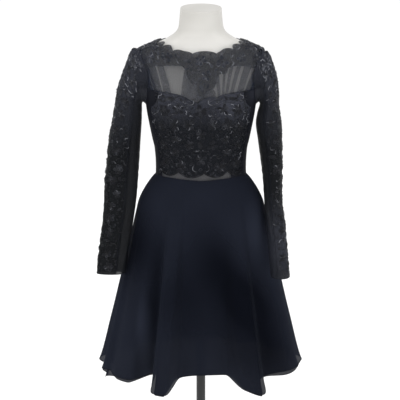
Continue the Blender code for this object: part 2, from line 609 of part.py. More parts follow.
# ---------------------------------------------------------------- the zip
def zip_grid(lift):
    """Points of the zip: three columns on the backs' own rows, moved out."""
    bodice, yoke = back_grids(1)
    rows = []
    for z in [*bodice[1][:, 0], *yoke[1][1:, 0]]:
        middle, aside = (torso_point(np.array(a), np.array(z)) for a in (180.0, 179.0))
        spread = ZIP_WIDTH / 2 / abs(aside[0] - middle[0])
        angle = 180 + spread * np.array([1, 0, -1])
        rows.append(lifted(angle, z + np.zeros(3), lift + np.zeros(3)))
    rows = np.array(rows)
    rows[-1] = rows[-2] + (rows[-1] - rows[-2]) * ZIP_TOP_SHARE
    return rows


def build_zip():
    """The closed zip over the centre-back seam, its slider, and a pull that turns in the slider's bridge."""
    ground = EASE + WALL + LACE_GAP
    tape = zip_grid(ground)
    crown = zip_grid(ground + np.array([ZIP_EDGE, ZIP_CROWN, ZIP_EDGE]))
    wall("back_zip", crown, tape, False, "navy_satin")
    frame = slider_frame(crown[:, 1])
    build_slider(frame)
    build_pull(frame)


def slider_frame(crown):
    """Axes at the slider, near the zip's top: x across the back, y out of the cloth, z up along the zip."""
    up = Vector(crown[-1] - crown[-2]).normalized()
    across = Vector((1, 0, 0))
    out = up.cross(across).normalized()
    at = Vector(crown[-1]) - up * (SLIDER["length"] / 2 + SLIDER["below"]) + out * SEAM
    basis = Matrix((across, out, up)).transposed().to_4x4()
    return Matrix.Translation(at) @ basis


def block(work, low, high):
    """Adds a box between two corners to a bmesh."""
    size = [b - a for a, b in zip(low, high)]
    middle = [(a + b) / 2 for a, b in zip(low, high)]
    made = bmesh.ops.create_cube(work, size=1)
    bmesh.ops.scale(work, vec=size, verts=made["verts"])
    bmesh.ops.translate(work, vec=middle, verts=made["verts"])


def joined(name, boxes, frame, finish):
    """One solid from boxes that overlap: the first is the object and the others are united with it."""
    made = None
    for number, (low, high) in enumerate(boxes):
        mesh = bpy.data.meshes.new(f"{name}_{number}")
        work = bmesh.new()
        block(work, low, high)
        work.to_mesh(mesh)
        work.free()
        piece = bpy.data.objects.new(name if number == 0 else f"{name}_add_{number}", mesh)
        bpy.context.scene.collection.objects.link(piece)
        piece.matrix_world = frame
        if made is None:
            made = piece
            mesh.materials.append(material(finish))
            continue
        piece.hide_render = True
        piece.display_type = "WIRE"
        union = made.modifiers.new(piece.name, "BOOLEAN")
        union.operation = "UNION"
        union.object = piece
    return made


def build_slider(frame):
    w, h, t = SLIDER["width"] / 2, SLIDER["length"] / 2, SLIDER["thick"]
    b, reach, leg = BRIDGE["width"] / 2, BRIDGE["length"] / 2, BRIDGE["leg"]
    top = t + BRIDGE["clear"]
    joined("zip_slider", [
        ((-w, 0, -h), (w, t, h)),
        ((-b, t / 2, -reach), (b, top + BRIDGE["bar"], -reach + leg)),
        ((-b, t / 2, reach - leg), (b, top + BRIDGE["bar"], reach)),
        ((-b, top, -reach + leg / 2), (b, top + BRIDGE["bar"], reach - leg / 2)),
    ], frame, "zip_metal")


def build_pull(frame):
    """The pull: a frame whose end bar lies under the bridge, and a flat tongue. It turns about that bar."""
    axis = Vector((0, SLIDER["thick"] + BRIDGE["clear"] / 2, 0))
    local = frame @ Matrix.Translation(axis)
    w, t, window = PULL["width"] / 2, PULL["thick"] / 2, PULL["window"] / 2
    bar, reach = PULL["frame"] / 2, PULL["reach"]
    joined("zip_pull", [
        ((-w, -t, -bar), (w, t, bar)),
        ((-w, -t, -reach - bar), (-window, t, bar / 2)),
        ((window, -t, -reach - bar), (w, t, bar / 2)),
        ((-w, -t, -PULL["length"]), (w, t, -reach)),
    ], local, "zip_metal")


def build():
    for leftover in list(bpy.data.objects):
        bpy.data.objects.remove(leftover)
    build_form()
    build_stand()
    build_front()
    build_back()
    build_skirt()
    for name, side, head, arm in (("left", -1, LEFT_HEAD, LEFT_ARM), ("right", 1, RIGHT_HEAD, RIGHT_ARM)):
        build_sleeve_lace(name, *build_sleeve(name, side, head, arm))
    build_zip()


build()
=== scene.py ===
"""Knee-length cocktail dress on a limbless dress form: cloth, lace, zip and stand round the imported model.

Metres, +Z up, the front faces -Y. An angle of 0 degrees is the centre front, 90 the +X side and
180 the centre back. Every cloth is a sheet on one of the model's own surfaces. Lace, stitches and
zip teeth are placed on a sheet by their distance round it and along it.
"""

import math

import bmesh
import bpy
import numpy as np
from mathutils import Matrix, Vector


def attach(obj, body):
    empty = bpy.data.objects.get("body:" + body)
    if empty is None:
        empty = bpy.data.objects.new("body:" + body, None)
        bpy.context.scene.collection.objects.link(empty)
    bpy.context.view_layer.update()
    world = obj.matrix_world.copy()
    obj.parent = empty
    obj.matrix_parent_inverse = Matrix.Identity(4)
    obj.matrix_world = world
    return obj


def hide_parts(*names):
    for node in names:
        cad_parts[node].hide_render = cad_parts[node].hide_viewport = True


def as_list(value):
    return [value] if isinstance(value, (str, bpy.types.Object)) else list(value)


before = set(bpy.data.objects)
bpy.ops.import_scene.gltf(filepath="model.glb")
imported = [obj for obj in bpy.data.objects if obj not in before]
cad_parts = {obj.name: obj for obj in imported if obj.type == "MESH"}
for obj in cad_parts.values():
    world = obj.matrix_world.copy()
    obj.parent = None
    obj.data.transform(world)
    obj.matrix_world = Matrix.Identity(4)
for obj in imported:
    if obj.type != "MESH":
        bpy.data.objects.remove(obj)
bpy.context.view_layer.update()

# ---------------------------------------------------------------- sizes, in metres
WALL = 0.0012            # cloth
EASE = 0.0033            # air between the form and the cloth on it
ON_FORM = EASE + WALL    # from the form to the face of the cloth on it
LACE_LIFT = 0.0006       # a lace's net above the cloth that it is sewn on
ON_CLOTH = ON_FORM + LACE_LIFT
LACE_FLOAT = 0.0002      # a lace's motifs above its net
CORD_RADIUS = 0.0006     # the cord round the lace's motifs
SHOULDER_SWELL = dict(left=0.0035, right=0.0020)  # of the lace over the shoulder seams
SLEEVE_LACE_DEG = 112.5  # how far round a sleeve its lace reaches, to the front and to the back
FORM_BOTTOM = 0.800
UNDERARM, SHOULDER_TIP = 1.250, 1.391
HEM = 0.527
ARMHOLE_MID = (UNDERARM + SHOULDER_TIP) / 2
ARMHOLE_RISE = (SHOULDER_TIP - UNDERARM) / 2
ARMHOLE_DEG = 27.0       # how far the armhole reaches to the front and to the back

# the form, a row for each section. Tuck is how far it stays inside the cloth's own sections
FORM = dict(
    z=[0.800, 0.860, 0.920, 0.980, 1.030, 1.060, 1.085, 1.130, 1.160, 1.200, 1.230, 1.260, 1.300,
       1.340, 1.365, 1.385, 1.395, 1.405, 1.415, 1.4225, 1.433, 1.444, 1.456, 1.473, 1.505],
    half_width=[0.150, 0.163, 0.160, 0.142, 0.1235, 0.1190, 0.1182, 0.1210, 0.1275, 0.1355, 0.1410,
                0.1450, 0.1510, 0.1590, 0.1655, 0.1680, 0.1640, 0.1455, 0.1205, 0.1025, 0.0820,
                0.0670, 0.0600, 0.0575, 0.0545],
    front=[0.094, 0.103, 0.103, 0.094, 0.085, 0.083, 0.084, 0.090, 0.096, 0.104, 0.105, 0.100, 0.090,
           0.078, 0.069, 0.061, 0.057, 0.055, 0.0555, 0.056, 0.056, 0.055, 0.054, 0.053, 0.0525],
    back=[0.104, 0.118, 0.113, 0.096, 0.079, 0.072, 0.070, 0.072, 0.076, 0.083, 0.089, 0.094, 0.098,
          0.098, 0.092, 0.081, 0.072, 0.064, 0.058, 0.054, 0.050, 0.048, 0.047, 0.046, 0.046],
    centre_y=[0, 0, 0, 0, 0, 0, 0, 0, 0, 0, 0, 0, 0,
              0, 0, 0, -0.001, -0.002, -0.003, -0.004, -0.007, -0.010, -0.013, -0.017, -0.025],
    tuck=[0, 0, 0, 0, 0, 0, 0, 0, 0, 0, 0, 0, 0.001,
          0.002, 0.003, 0.003, 0.003, 0.003, 0.002, 0.001, 0, 0, 0, 0, 0],
)
SQUARENESS = 2.2         # exponent of every section, where 2 is an ellipse
BUST = dict(x=0.068, z=1.212, depth=0.016, wide=0.050, tall=0.045, front=3)
NECK_LEAN_DEG = 11.5     # of the neck's flat cap, forwards
NECK_LEANS_FROM = 1.462  # height below which the neck's sections are level
# rims that turn in to the neck's cap and the foot: share of the edge's reach, and rise
NECK_TURN = [(0.993, 0.0007), (0.975, 0.0016), (0.945, 0.0021), (0.90, 0.0023), (0.6, 0.0023), (0.3, 0.0023),
             (0.01, 0.0023)]
FOOT_TURN = [(0.02, 0.0), (0.6, 0.0), (0.96, 0.0), (0.985, 0.0012)]
FOOT_ROUND = 0.004

# lines drawn on the torso: height at each angle, the same on both sides
WAIST_SEAM = dict(angle=[0, 45, 90, 135, 180], z=[1.054, 1.060, 1.061, 1.061, 1.058])
INSET_HEIGHT = dict(angle=[0, 40, 60, 90], z=[0.024, 0.022, 0.015, 0.008])
SWEETHEART = dict(angle=[0, 8, 20, 44, 60, 90], z=[1.262, 1.268, 1.283, 1.291, 1.2935, 1.2935])
FRONT_COLLAR = dict(        # the foot of the collar's lace, which isn't the same on both sides
    angle=[-90, -60, -47, -25, -16.2, -13.8, -11, -7.5, -3.8, -2.2, 0, 3.6, 4.4, 10.8, 13.5, 15.2, 22.2,
           23.8, 32.8, 45, 60, 90],
    z=[1.3475, 1.3475, 1.3555, 1.3570, 1.3570, 1.3520, 1.3305, 1.3140, 1.3070, 1.2800, 1.2770, 1.2800,
       1.2920, 1.3005, 1.3205, 1.3355, 1.3385, 1.3520, 1.3565, 1.3555, 1.3475, 1.3475])
NECKLINE = dict(angle=[0, 13, 20, 27, 34, 41, 48, 60, 75, 90, 120, 150, 180],
                z=[1.3865, 1.3870, 1.3920, 1.3965, 1.4015, 1.4040, 1.4070, 1.4090, 1.4105, 1.4125,
                   1.4115, 1.4065, 1.4035])
BACK_LINE = dict(angle=[90, 120, 150, 180], z=[1.2935, 1.2935, 1.286, 1.280])
BACK_COLLAR = dict(angle=[90, 120, 150, 180], z=[1.3475, 1.3475, 1.350, 1.348])
NECK_SCALLOPS = dict(count=10.0, size=0.0085, round=0.6, turn=3, fade=24)
WAIST_SCALLOPS = dict(count=6.0, size=0.017, round=0.7, least=0.12, turn=18)
LACE_SHARE = 0.6875      # of the bodice's front that its lace covers, from the centre to the side
INSET_SIDES = (-57, 39)  # angles between which the waist is sheer; crepe goes down to the seam beyond them
BACK_GAP = 0.004         # share of the way round from the centre back to the side where each half starts
ZIP_FROM_AXIS = 0.11     # half depth of the back under the zip

# the skirt: the reach of its folds and of the valleys between them
FOLDS_OUT = dict(
    z=[0.527, 0.550, 0.580, 0.640, 0.698, 0.757, 0.800, 0.850, 0.900, 0.950, 0.988, 1.017, 1.034,
       1.046, 1.061],
    half_width=[0.2885, 0.2805, 0.2720, 0.2570, 0.2420, 0.2275, 0.2165, 0.2040, 0.1920, 0.1800,
                0.1705, 0.1565, 0.1455, 0.1370, 0.1245],
    front=[0.2500, 0.2440, 0.2370, 0.2190, 0.2000, 0.1810, 0.1670, 0.1510, 0.1360, 0.1220, 0.1150,
           0.1070, 0.1010, 0.0960, 0.0885],
    back=[0.2560, 0.2500, 0.2430, 0.2250, 0.2065, 0.1905, 0.1780, 0.1640, 0.1500, 0.1340, 0.1220,
          0.1100, 0.1000, 0.0920, 0.0785],
)
FOLDS_IN = dict(
    z=[0.527, 0.600, 0.700, 0.800, 0.900, 0.950, 0.988, 1.017, 1.034, 1.046, 1.061],
    half_width=[0.2220, 0.2130, 0.2000, 0.1880, 0.1780, 0.1720, 0.1660, 0.1560, 0.1465, 0.1380, 0.1245],
    front=[0.1330, 0.1300, 0.1260, 0.1220, 0.1175, 0.1140, 0.1115, 0.1060, 0.1008, 0.0960, 0.0885],
    back=[0.1550, 0.1510, 0.1460, 0.1400, 0.1350, 0.1280, 0.1190, 0.1090, 0.1000, 0.0920, 0.0785],
)
FOLDS = dict(
    angle=[-180, -167, -153, -140, -127, -114, -102, -90, -81, -73, -66, -57, -44, -32, -25.5, -17, -12.5,
           0, 15.5, 23, 33, 42, 52, 66, 76, 84, 90, 102, 114, 127, 140, 153, 167, 180],
    reach=[0.35, 0.95, 0.30, 1.00, 0.35, 0.90, 0.55, 1.00, 0.74, 0.96, 0.72, 0.82, 0.76, 0.00, 0.92, 0.96,
           0.14, 0.02, 0.00, 0.72, 1.05, 0.36, 0.42, 0.68, 0.80, 0.86, 0.96, 0.55, 0.90, 0.35, 1.00, 0.30,
           0.95, 0.35],
    drop=[0.004, 0.014, 0.002, 0.012, 0.000, 0.006, 0.002, 0.000, 0.000, 0.000, 0.000, 0.002, 0.002, 0.000,
          0.018, 0.019, 0.002, 0.000, 0.000, 0.016, 0.022, 0.002, 0.000, 0.000, 0.000, 0.000, 0.000, 0.002,
          0.006, 0.000, 0.012, 0.002, 0.014, 0.004],
)
HEM_ROUND = 2.13         # round the top layer's hem
FOLD_SOFTNESS = 0.007    # of a fold's crest, which chiffon never sharpens
UNDER_GAP = dict(down=[0.0, 0.110, 0.330, 0.600, 0.880, 1.0],
                 gap=[0.0020, 0.0024, 0.0035, 0.0055, 0.0070, 0.0080])
UNDER_HEM = dict(        # how far the under layer's hem hangs below the top layer's
    angle=[-180, -120, -96, -84, -70, -58, -44, -20, 0, 20, 44, 60, 74, 86, 98, 120, 180],
    drop=[0.006, 0.010, 0.026, 0.030, 0.020, 0.009, 0.009, 0.004, 0.003, 0.004, 0.006, 0.012, 0.013, 0.016,
          0.012, 0.008, 0.006])

# the sleeves: x of both edges, depth and how far forward each ring hangs
LEFT_ARM = dict(
    z=[1.252, 1.208, 1.152, 1.098, 1.050, 0.998, 0.938, 0.885, 0.839, 0.798],
    inner=[0.1590, 0.1602, 0.1640, 0.1675, 0.1710, 0.1755, 0.1840, 0.1930, 0.1990, 0.2045],
    outer=[0.2335, 0.2390, 0.2495, 0.2550, 0.2605, 0.2630, 0.2668, 0.2740, 0.2795, 0.2830],
    centre_y=[0.000, -0.002, -0.006, -0.012, -0.018, -0.026, -0.038, -0.052, -0.062, -0.073],
    depth=[0.086, 0.084, 0.078, 0.070, 0.063, 0.056, 0.048, 0.043, 0.038, 0.034],
)
RIGHT_ARM = dict(
    z=[1.252, 1.205, 1.152, 1.098, 1.050, 0.998, 0.943, 0.895, 0.848, 0.804],
    inner=[0.1570, 0.1490, 0.1550, 0.1625, 0.1680, 0.1715, 0.1740, 0.1790, 0.1830, 0.1870],
    outer=[0.2115, 0.2165, 0.2195, 0.2205, 0.2200, 0.2195, 0.2262, 0.2300, 0.2335, 0.2370],
    centre_y=[0.000, -0.002, -0.006, -0.014, -0.024, -0.038, -0.062, -0.085, -0.104, -0.124],
    depth=[0.100, 0.098, 0.094, 0.088, 0.083, 0.079, 0.074, 0.070, 0.066, 0.062],
)
LEFT_HEAD = dict(turn=[0, 11, 17, 23, 34, 52, 76, 90],
                 reach=[0.1460, 0.1460, 0.1350, 0.1155, 0.1000, 0.0820, 0.0780, 0.0765])
RIGHT_HEAD = dict(turn=[0, 5, 13, 22, 29, 46, 71, 90],
                  reach=[0.1450, 0.1445, 0.1355, 0.1085, 0.0950, 0.0730, 0.0580, 0.0550])
HEAD_TURNS = [11, 23, 40, 63, 90]
HEAD_BLEND = [0.8, 1.0, 1.0, 1.0, 1.0]
HEAD_DEPTH = 0.094
UNDERARM_X, UNDERARM_Z, UNDERARM_RADIUS = 0.1545, 1.252, 0.0045


# ---------------------------------------------------------------- tables and surfaces
def hermite(start, end, slope, next_slope, length, t):
    """A smooth curve between two rows by the slopes at both, as t goes from 0 to 1."""
    return (start * (1 + 2 * t) * (1 - t) ** 2 + slope * length * t * (1 - t) ** 2
            + end * t * t * (3 - 2 * t) + next_slope * length * t * t * (t - 1))


def smooth(table, column, at, key="z"):
    """Reads one column of a table by a smooth curve that never overshoots its rows."""
    xs, ys = np.asarray(table[key], float), np.asarray(table[column], float)
    step = np.diff(xs)
    slope = np.diff(ys) / step
    tangent = np.zeros_like(ys)
    tangent[0], tangent[-1] = slope[0], slope[-1]
    for i in range(1, len(xs) - 1):
        if slope[i - 1] * slope[i] > 0:
            before, after = 2 * step[i] + step[i - 1], step[i] + 2 * step[i - 1]
            tangent[i] = (before + after) / (before / slope[i - 1] + after / slope[i])
    at = np.clip(np.asarray(at, float), xs[0], xs[-1])
    i = np.clip(np.searchsorted(xs, at) - 1, 0, len(xs) - 2)
    return hermite(ys[i], ys[i + 1], tangent[i], tangent[i + 1], step[i], (at - xs[i]) / step[i])


def level(table):
    """A line on the torso: its height at an angle in degrees, the same on both sides."""
    return lambda angle: smooth(table, "z", np.abs(angle), key="angle")


waist_line, inset_height, sweetheart = level(WAIST_SEAM), level(INSET_HEIGHT), level(SWEETHEART)
back_line, back_collar, neckline = level(BACK_LINE), level(BACK_COLLAR), level(NECKLINE)


def section_point(table, angle, z, centre=0.0):
    """Points of a body whose sections are a table's."""
    angle, z = np.broadcast_arrays(np.radians(angle), np.asarray(z, float))
    across, along = np.sin(angle), np.cos(angle)
    power = 2 / SQUARENESS
    depth = np.where(along >= 0, smooth(table, "front", z), smooth(table, "back", z))
    x = smooth(table, "half_width", z) * np.sign(across) * np.abs(across) ** power
    return np.stack([x, centre - depth * np.sign(along) * np.abs(along) ** power, z], axis=-1)


def torso_point(angle, z):
    """Points of the form's own surface, with its bust."""
    point = section_point(FORM, angle, z, smooth(FORM, "centre_y", z))
    x, height = point[..., 0], point[..., 2]
    facing = np.clip(np.cos(np.radians(angle)) * BUST["front"], 0, 1)
    swell = sum(np.exp(-((x - side * BUST["x"]) / BUST["wide"]) ** 2) for side in (-1, 1))
    point[..., 1] -= BUST["depth"] * facing * swell * np.exp(-((height - BUST["z"]) / BUST["tall"]) ** 2)
    return point


def unit(vectors):
    return vectors / np.maximum(np.linalg.norm(vectors, axis=-1, keepdims=True), 1e-12)


def on_torso(angle, z, lift):
    """Points that stand off the form's surface, and its normals there."""
    angle, z, lift = np.broadcast_arrays(np.asarray(angle, float), np.asarray(z, float), lift)
    turn, step = 0.05, 1e-4
    across = torso_point(angle + turn, z) - torso_point(angle - turn, z)
    normal = unit(np.cross(across, torso_point(angle, z + step) - torso_point(angle, z - step)))
    return torso_point(angle, z) + normal * lift[..., None], normal


def lifted(angle, z, lift):
    return on_torso(angle, z, lift)[0]


def lengths(points, axis=0):
    """Metres from the first point, down the columns of a grid or along its rows."""
    run = np.linalg.norm(np.diff(points, axis=axis), axis=-1)
    return np.concatenate([np.zeros_like(np.take(run, [0], axis)), np.cumsum(run, axis=axis)], axis=axis)


def circle(count):
    """Points of a circle of radius 1."""
    angle = 2 * np.pi * np.arange(count) / count
    return np.stack([np.cos(angle), np.sin(angle)], axis=1)


class Sheet:
    """A grid of points with outward normals. Things on it are placed by distances in metres.

    Across is measured along each row from the middle column, and along is measured from the first
    row down or up the spine column.
    """

    def __init__(self, points, normals, middle, spine=None):
        self.points, self.normals = points, normals
        self.across = lengths(points, 1)
        self.across -= self.across[:, middle:middle + 1]
        self.along = lengths(points[:, middle if spine is None else spine])

    def cell(self, across, along):
        """(row, column) positions, with fractions, of points at those distances."""
        across, along = np.broadcast_arrays(np.asarray(across, float), np.asarray(along, float))
        row = np.interp(along, self.along, np.arange(len(self.along)))
        low = np.minimum(row.astype(int), len(self.along) - 2)
        column = np.zeros((2, *row.shape))
        for r in np.unique(low):
            here = low == r
            for side in (0, 1):
                column[side][here] = np.interp(across[here], self.across[r + side],
                                               np.arange(self.across.shape[1]))
        return low, row - low, column

    def place(self, across, along, lift=0.0):
        """Points and normals at those distances, lifted off the sheet."""
        low, part, column = self.cell(across, along)
        found = []
        for grid in (self.points, self.normals):
            ends = []
            for side in (0, 1):
                c = np.minimum(column[side].astype(int), grid.shape[1] - 2)
                w = (column[side] - c)[..., None]
                ends.append(grid[low + side, c] * (1 - w) + grid[low + side, c + 1] * w)
            found.append(ends[0] * (1 - part[..., None]) + ends[1] * part[..., None])
        normal = unit(found[1])
        return found[0] + normal * np.asarray(lift, float)[..., None], normal


# ---------------------------------------------------------------- meshes
def new_object(name, points, faces, finish):
    """An object with a mesh and a finish, in the scene."""
    mesh = bpy.data.meshes.new(name)
    mesh.from_pydata(np.asarray(points, float).reshape(-1, 3).tolist(), [],
                     faces if isinstance(faces, list) else faces.tolist())
    mesh.shade_smooth()
    mesh.materials.append(finish)
    made = bpy.data.objects.new(name, mesh)
    bpy.context.scene.collection.objects.link(made)
    return made


def make(name, points, faces, finish, slot, node=None, distances=None):
    """A piece of the object, which may stand for a node. Distances place its weave, a pair a point."""
    piece = new_object(name, points, faces, finish)
    if distances is not None:
        corner = np.zeros(len(piece.data.loops), np.int32)
        piece.data.loops.foreach_get("vertex_index", corner)
        pairs = np.asarray(distances, np.float32).reshape(-1, 2)[corner]
        piece.data.uv_layers.new(name="cloth").uv.foreach_set("vector", pairs.ravel())
    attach(piece, "root")
    if node:
        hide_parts(node)
    return piece


def grid_faces(rows, columns, closed=False, flip=False):
    """Quads of a grid of points, rows by columns."""
    r, c = np.meshgrid(np.arange(rows - 1), np.arange(columns if closed else columns - 1), indexing="ij")
    here, right = r * columns + c, r * columns + (c + 1) % columns
    quads = np.stack([here, right, right + columns, here + columns], axis=-1).reshape(-1, 4)
    return quads[:, ::-1] if flip else quads


def cloth(name, grid, finish, slot, node=None, closed=False, flip=False):
    """A sheet of cloth, one point thick, with metres across it from its middle and along it."""
    across = lengths(grid, 1)
    distances = np.stack([across - across.mean(axis=1, keepdims=True), lengths(grid)], axis=-1)
    return make(name, grid, grid_faces(*grid.shape[:2], closed, flip), finish, slot, node, distances)


def tubes(name, runs, finish, slot="black_lace", sides=6, flat=0.8):
    """Cords that lie on cloth, a little flattened. A run is (points, normals, radius, closed)."""
    points, faces, start = [], [], 0
    section = circle(sides)[None]
    for path, normals, radius, closed in runs:
        ahead = np.roll(path, -1, axis=0) - np.roll(path, 1, axis=0) if closed else np.gradient(path, axis=0)
        aside = unit(np.cross(ahead, normals))
        points += [path[:, None] + radius * section[..., :1] * aside[:, None]
                   + radius * flat * section[..., 1:] * normals[:, None]]
        count = len(path) * sides
        faces += (grid_faces(len(path) + closed, sides, closed=True) % count + start).tolist()
        if not closed:
            last = start + count
            faces += [list(range(start, start + sides))[::-1], list(range(last - sides, last))]
        start += count
    return make(name, np.concatenate([ring.reshape(-1, 3) for ring in points]), faces, finish, slot)


def beads(name, centres, radii, finish):
    """Small round beads, each a faceted ball of 80 triangles."""
    ball = bmesh.new()
    bmesh.ops.create_icosphere(ball, subdivisions=2, radius=1.0)
    shape = np.array([v.co for v in ball.verts])
    corners = np.array([[v.index for v in f.verts] for f in ball.faces])
    ball.free()
    points = centres[:, None] + shape[None] * np.broadcast_to(radii, len(centres))[:, None, None]
    faces = corners[None] + (np.arange(len(centres)) * len(shape))[:, None, None]
    return make(name, points, faces.reshape(-1, 3), finish, "black_lace")


# ---------------------------------------------------------------- finishes
def paint(text):
    """An sRGB hex colour as linear red, green, blue and 1."""
    values = [int(text[i:i + 2], 16) / 255 for i in (1, 3, 5)]
    return (*(v / 12.92 if v <= 0.04045 else ((v + 0.055) / 1.055) ** 2.4 for v in values), 1.0)


def add(tree, kind, values=None, links=None, **settings):
    """Adds a node: settings are its own, values fill its sockets, and links join other nodes to them.

    A link names an output, or a node whose first output is meant.
    """
    made = tree.nodes.new("ShaderNode" + kind)
    for name, value in settings.items():
        setattr(made, name, value)
    for name, value in (values or {}).items():
        made.inputs[name].default_value = value
    for name, source in (links or {}).items():
        tree.links.new(getattr(source, "outputs", [source])[0], made.inputs[name])
    return made


def finish_of(name, colour, roughness, **sockets):
    """A new finish, some sockets set: (material, its tree, its shader, the place on the object)."""
    made = bpy.data.materials.new(name)
    made.use_nodes = True
    tree = made.node_tree
    shader = tree.nodes["Principled BSDF"]
    for socket, value in {"Base_Color": paint(colour), "Roughness": roughness, **sockets}.items():
        shader.inputs[socket.replace("_", " ")].default_value = value
    return made, tree, shader, add(tree, "TexCoord").outputs["Object"]


def bump(tree, shader, height, metres):
    """Raises the surface by a pattern whose full height is in metres."""
    made = add(tree, "Bump", {"Distance": metres}, {"Height": height})
    tree.links.new(made.outputs[0], shader.inputs["Normal"])


def blend_colours(tree, shader, share, dark, light, first=0.0, last=1.0):
    """Colour between two hexes, as a share goes from first to last."""
    ramp = add(tree, "ValToRGB", links={"Fac": share})
    for end, colour, place in zip(list(ramp.color_ramp.elements), (dark, light), (first, last)):
        end.color, end.position = paint(colour), place
    tree.links.new(ramp.outputs[0], shader.inputs["Base Color"])


def threads(tree, spacing):
    """Height of a plain weave from the cloth's own distances, with its threads a spacing apart in metres."""
    on_cloth = add(tree, "UVMap", uv_map="cloth")
    where = add(tree, "Mapping", {"Scale": (2 * math.pi,) * 3}, {"Vector": on_cloth})
    waves = [add(tree, "TexWave", {"Scale": 1 / spacing / 20}, {"Vector": where}, bands_direction=way)
             for way in "XY"]
    return add(tree, "Math", links={i: wave.outputs["Fac"] for i, wave in enumerate(waves)},
               operation="MAXIMUM")


def net_threads(tree, cell):
    """1 on the threads of a net and 0 in its six-sided holes, which are a cell apart in metres."""
    edge = add(tree, "TexVoronoi", {"Scale": 1 / cell, "Randomness": 0.25},
               {"Vector": add(tree, "UVMap", uv_map="cloth")}, voronoi_dimensions="2D",
               feature="DISTANCE_TO_EDGE")
    return add(tree, "MapRange", {"From Min": 0.08, "From Max": 0.24, "To Min": 1.0, "To Max": 0.0},
               {"Value": edge})


def paler_round(tree, where, share, spot, reach, more):
    """Adds more to a share at a spot, fading to nothing at its reach."""
    far = add(tree, "VectorMath", {1: spot}, {0: where}, operation="DISTANCE").outputs["Value"]
    extra = add(tree, "MapRange", {"From Max": reach, "To Min": more, "To Max": 0.0}, {"Value": far},
                interpolation_type="SMOOTHSTEP")
    return add(tree, "Math", links={0: share, 1: extra})


def shell_finish():
    # glass-fibre shell, sprayed with satin paint: a soft even white with a faint orange peel and tone that
    # differs at random, greyer up the neck, which is painted shade
    made, tree, shader, where = finish_of("satin_painted_glass_fibre", "#dedcd8", 0.42, IOR=1.5)
    peel, cloud = (add(tree, "TexNoise", {"Scale": 1 / size}, {"Vector": where}) for size in (0.004, 0.12))
    # painted shade: the neck greyer towards its top
    held = add(tree, "MapRange", {"From Min": 1.405, "From Max": 1.450, "To Min": 0.45, "To Max": -0.25},
               {"Value": add(tree, "SeparateXYZ", links={"Vector": where}).outputs["Z"]})
    blend_colours(tree, shader, add(tree, "Math", links={0: cloud, 1: held}), "#bebcb6", "#e0deda")
    bump(tree, shader, peel, 0.00006)
    return made


def crepe_finish():
    # crepe-backed satin worn crepe side out: dense, matt, hardly any light of its own, with tone that
    # differs at random, and a paler patch under the right arm, which is painted light
    made, tree, shader, where = finish_of("black_navy_crepe", "#15161b", 0.75, Specular_IOR_Level=0.06)
    weave = threads(tree, 0.0008)       # real threads are 0.2 mm apart, drawn wider so that they show
    cloud = add(tree, "TexNoise", {"Scale": 1 / 0.05, "Detail": 3.0}, {"Vector": where})
    share = add(tree, "MapRange", {"To Max": 0.4}, {"Value": cloud})
    # painted light: a paler patch on the crepe under the right arm
    share = paler_round(tree, where, share, (0.140, -0.040, 1.285), 0.040, 0.9)
    blend_colours(tree, shader, share, "#121318", "#282a32")
    bump(tree, shader, weave, 0.00008)
    return made


def tulle_finish(name, least, most, colour, high=None, heights=(1.27, 1.39), painted_light_spot=None):
    # nylon net: flat black thread round open six-sided holes, which greys whatever lies behind it, least in
    # its holes and most on its threads. Given a paler colour, it grows paler towards the top, which is
    # painted top light, and paler still round a spot given with it, which is painted light
    made, tree, shader, where = finish_of(name, colour, 0.55, Specular_IOR_Level=0.08)
    if high:
        # painted top light: the net paler towards the top, between two heights
        share = add(tree, "MapRange", {"From Min": heights[0], "From Max": heights[1]},
                    {"Value": add(tree, "SeparateXYZ", links={"Vector": where}).outputs["Z"]})
        # painted light: paler still round the given spot
        blend_colours(tree, shader, paler_round(tree, where, share, *painted_light_spot) if painted_light_spot else share, colour, high)
    net = net_threads(tree, 0.0018)     # real holes are 1 mm across, drawn wider so that they show
    alpha = add(tree, "MapRange", {"To Min": least, "To Max": most}, {"Value": net})
    tree.links.new(alpha.outputs[0], shader.inputs["Alpha"])
    bump(tree, shader, net, 0.00005)
    return made


# soft patches of painted light and shade on the chiffon, a column for each: darker where shade is painted,
# paler where light is painted. Middle, half sizes, slant and how much paler
PAINTED_LIGHT_AND_SHADE = dict(
    x=[0.062, 0.165, -0.165, 0.180, -0.145, -0.015, 0.138],
    y=[-0.15, -0.15, -0.06, -0.05, -0.14, -0.16, -0.14],
    z=[0.815, 0.610, 0.880, 0.895, 0.605, 0.765, 0.735],
    across=[0.095, 0.135, 0.105, 0.080, 0.035, 0.180, 0.080],
    deep=[0.25, 0.20, 0.14, 0.16, 0.08, 0.25, 0.2],
    long=[0.200, 0.220, 0.160, 0.150, 0.180, 0.190, 0.120],
    slant=[0.45, 0.40, 0.10, 0.20, 0.05, 0.0, 0.40],
    more=[-0.15, -0.19, -0.18, 0.38, 0.42, -0.12, -0.14])


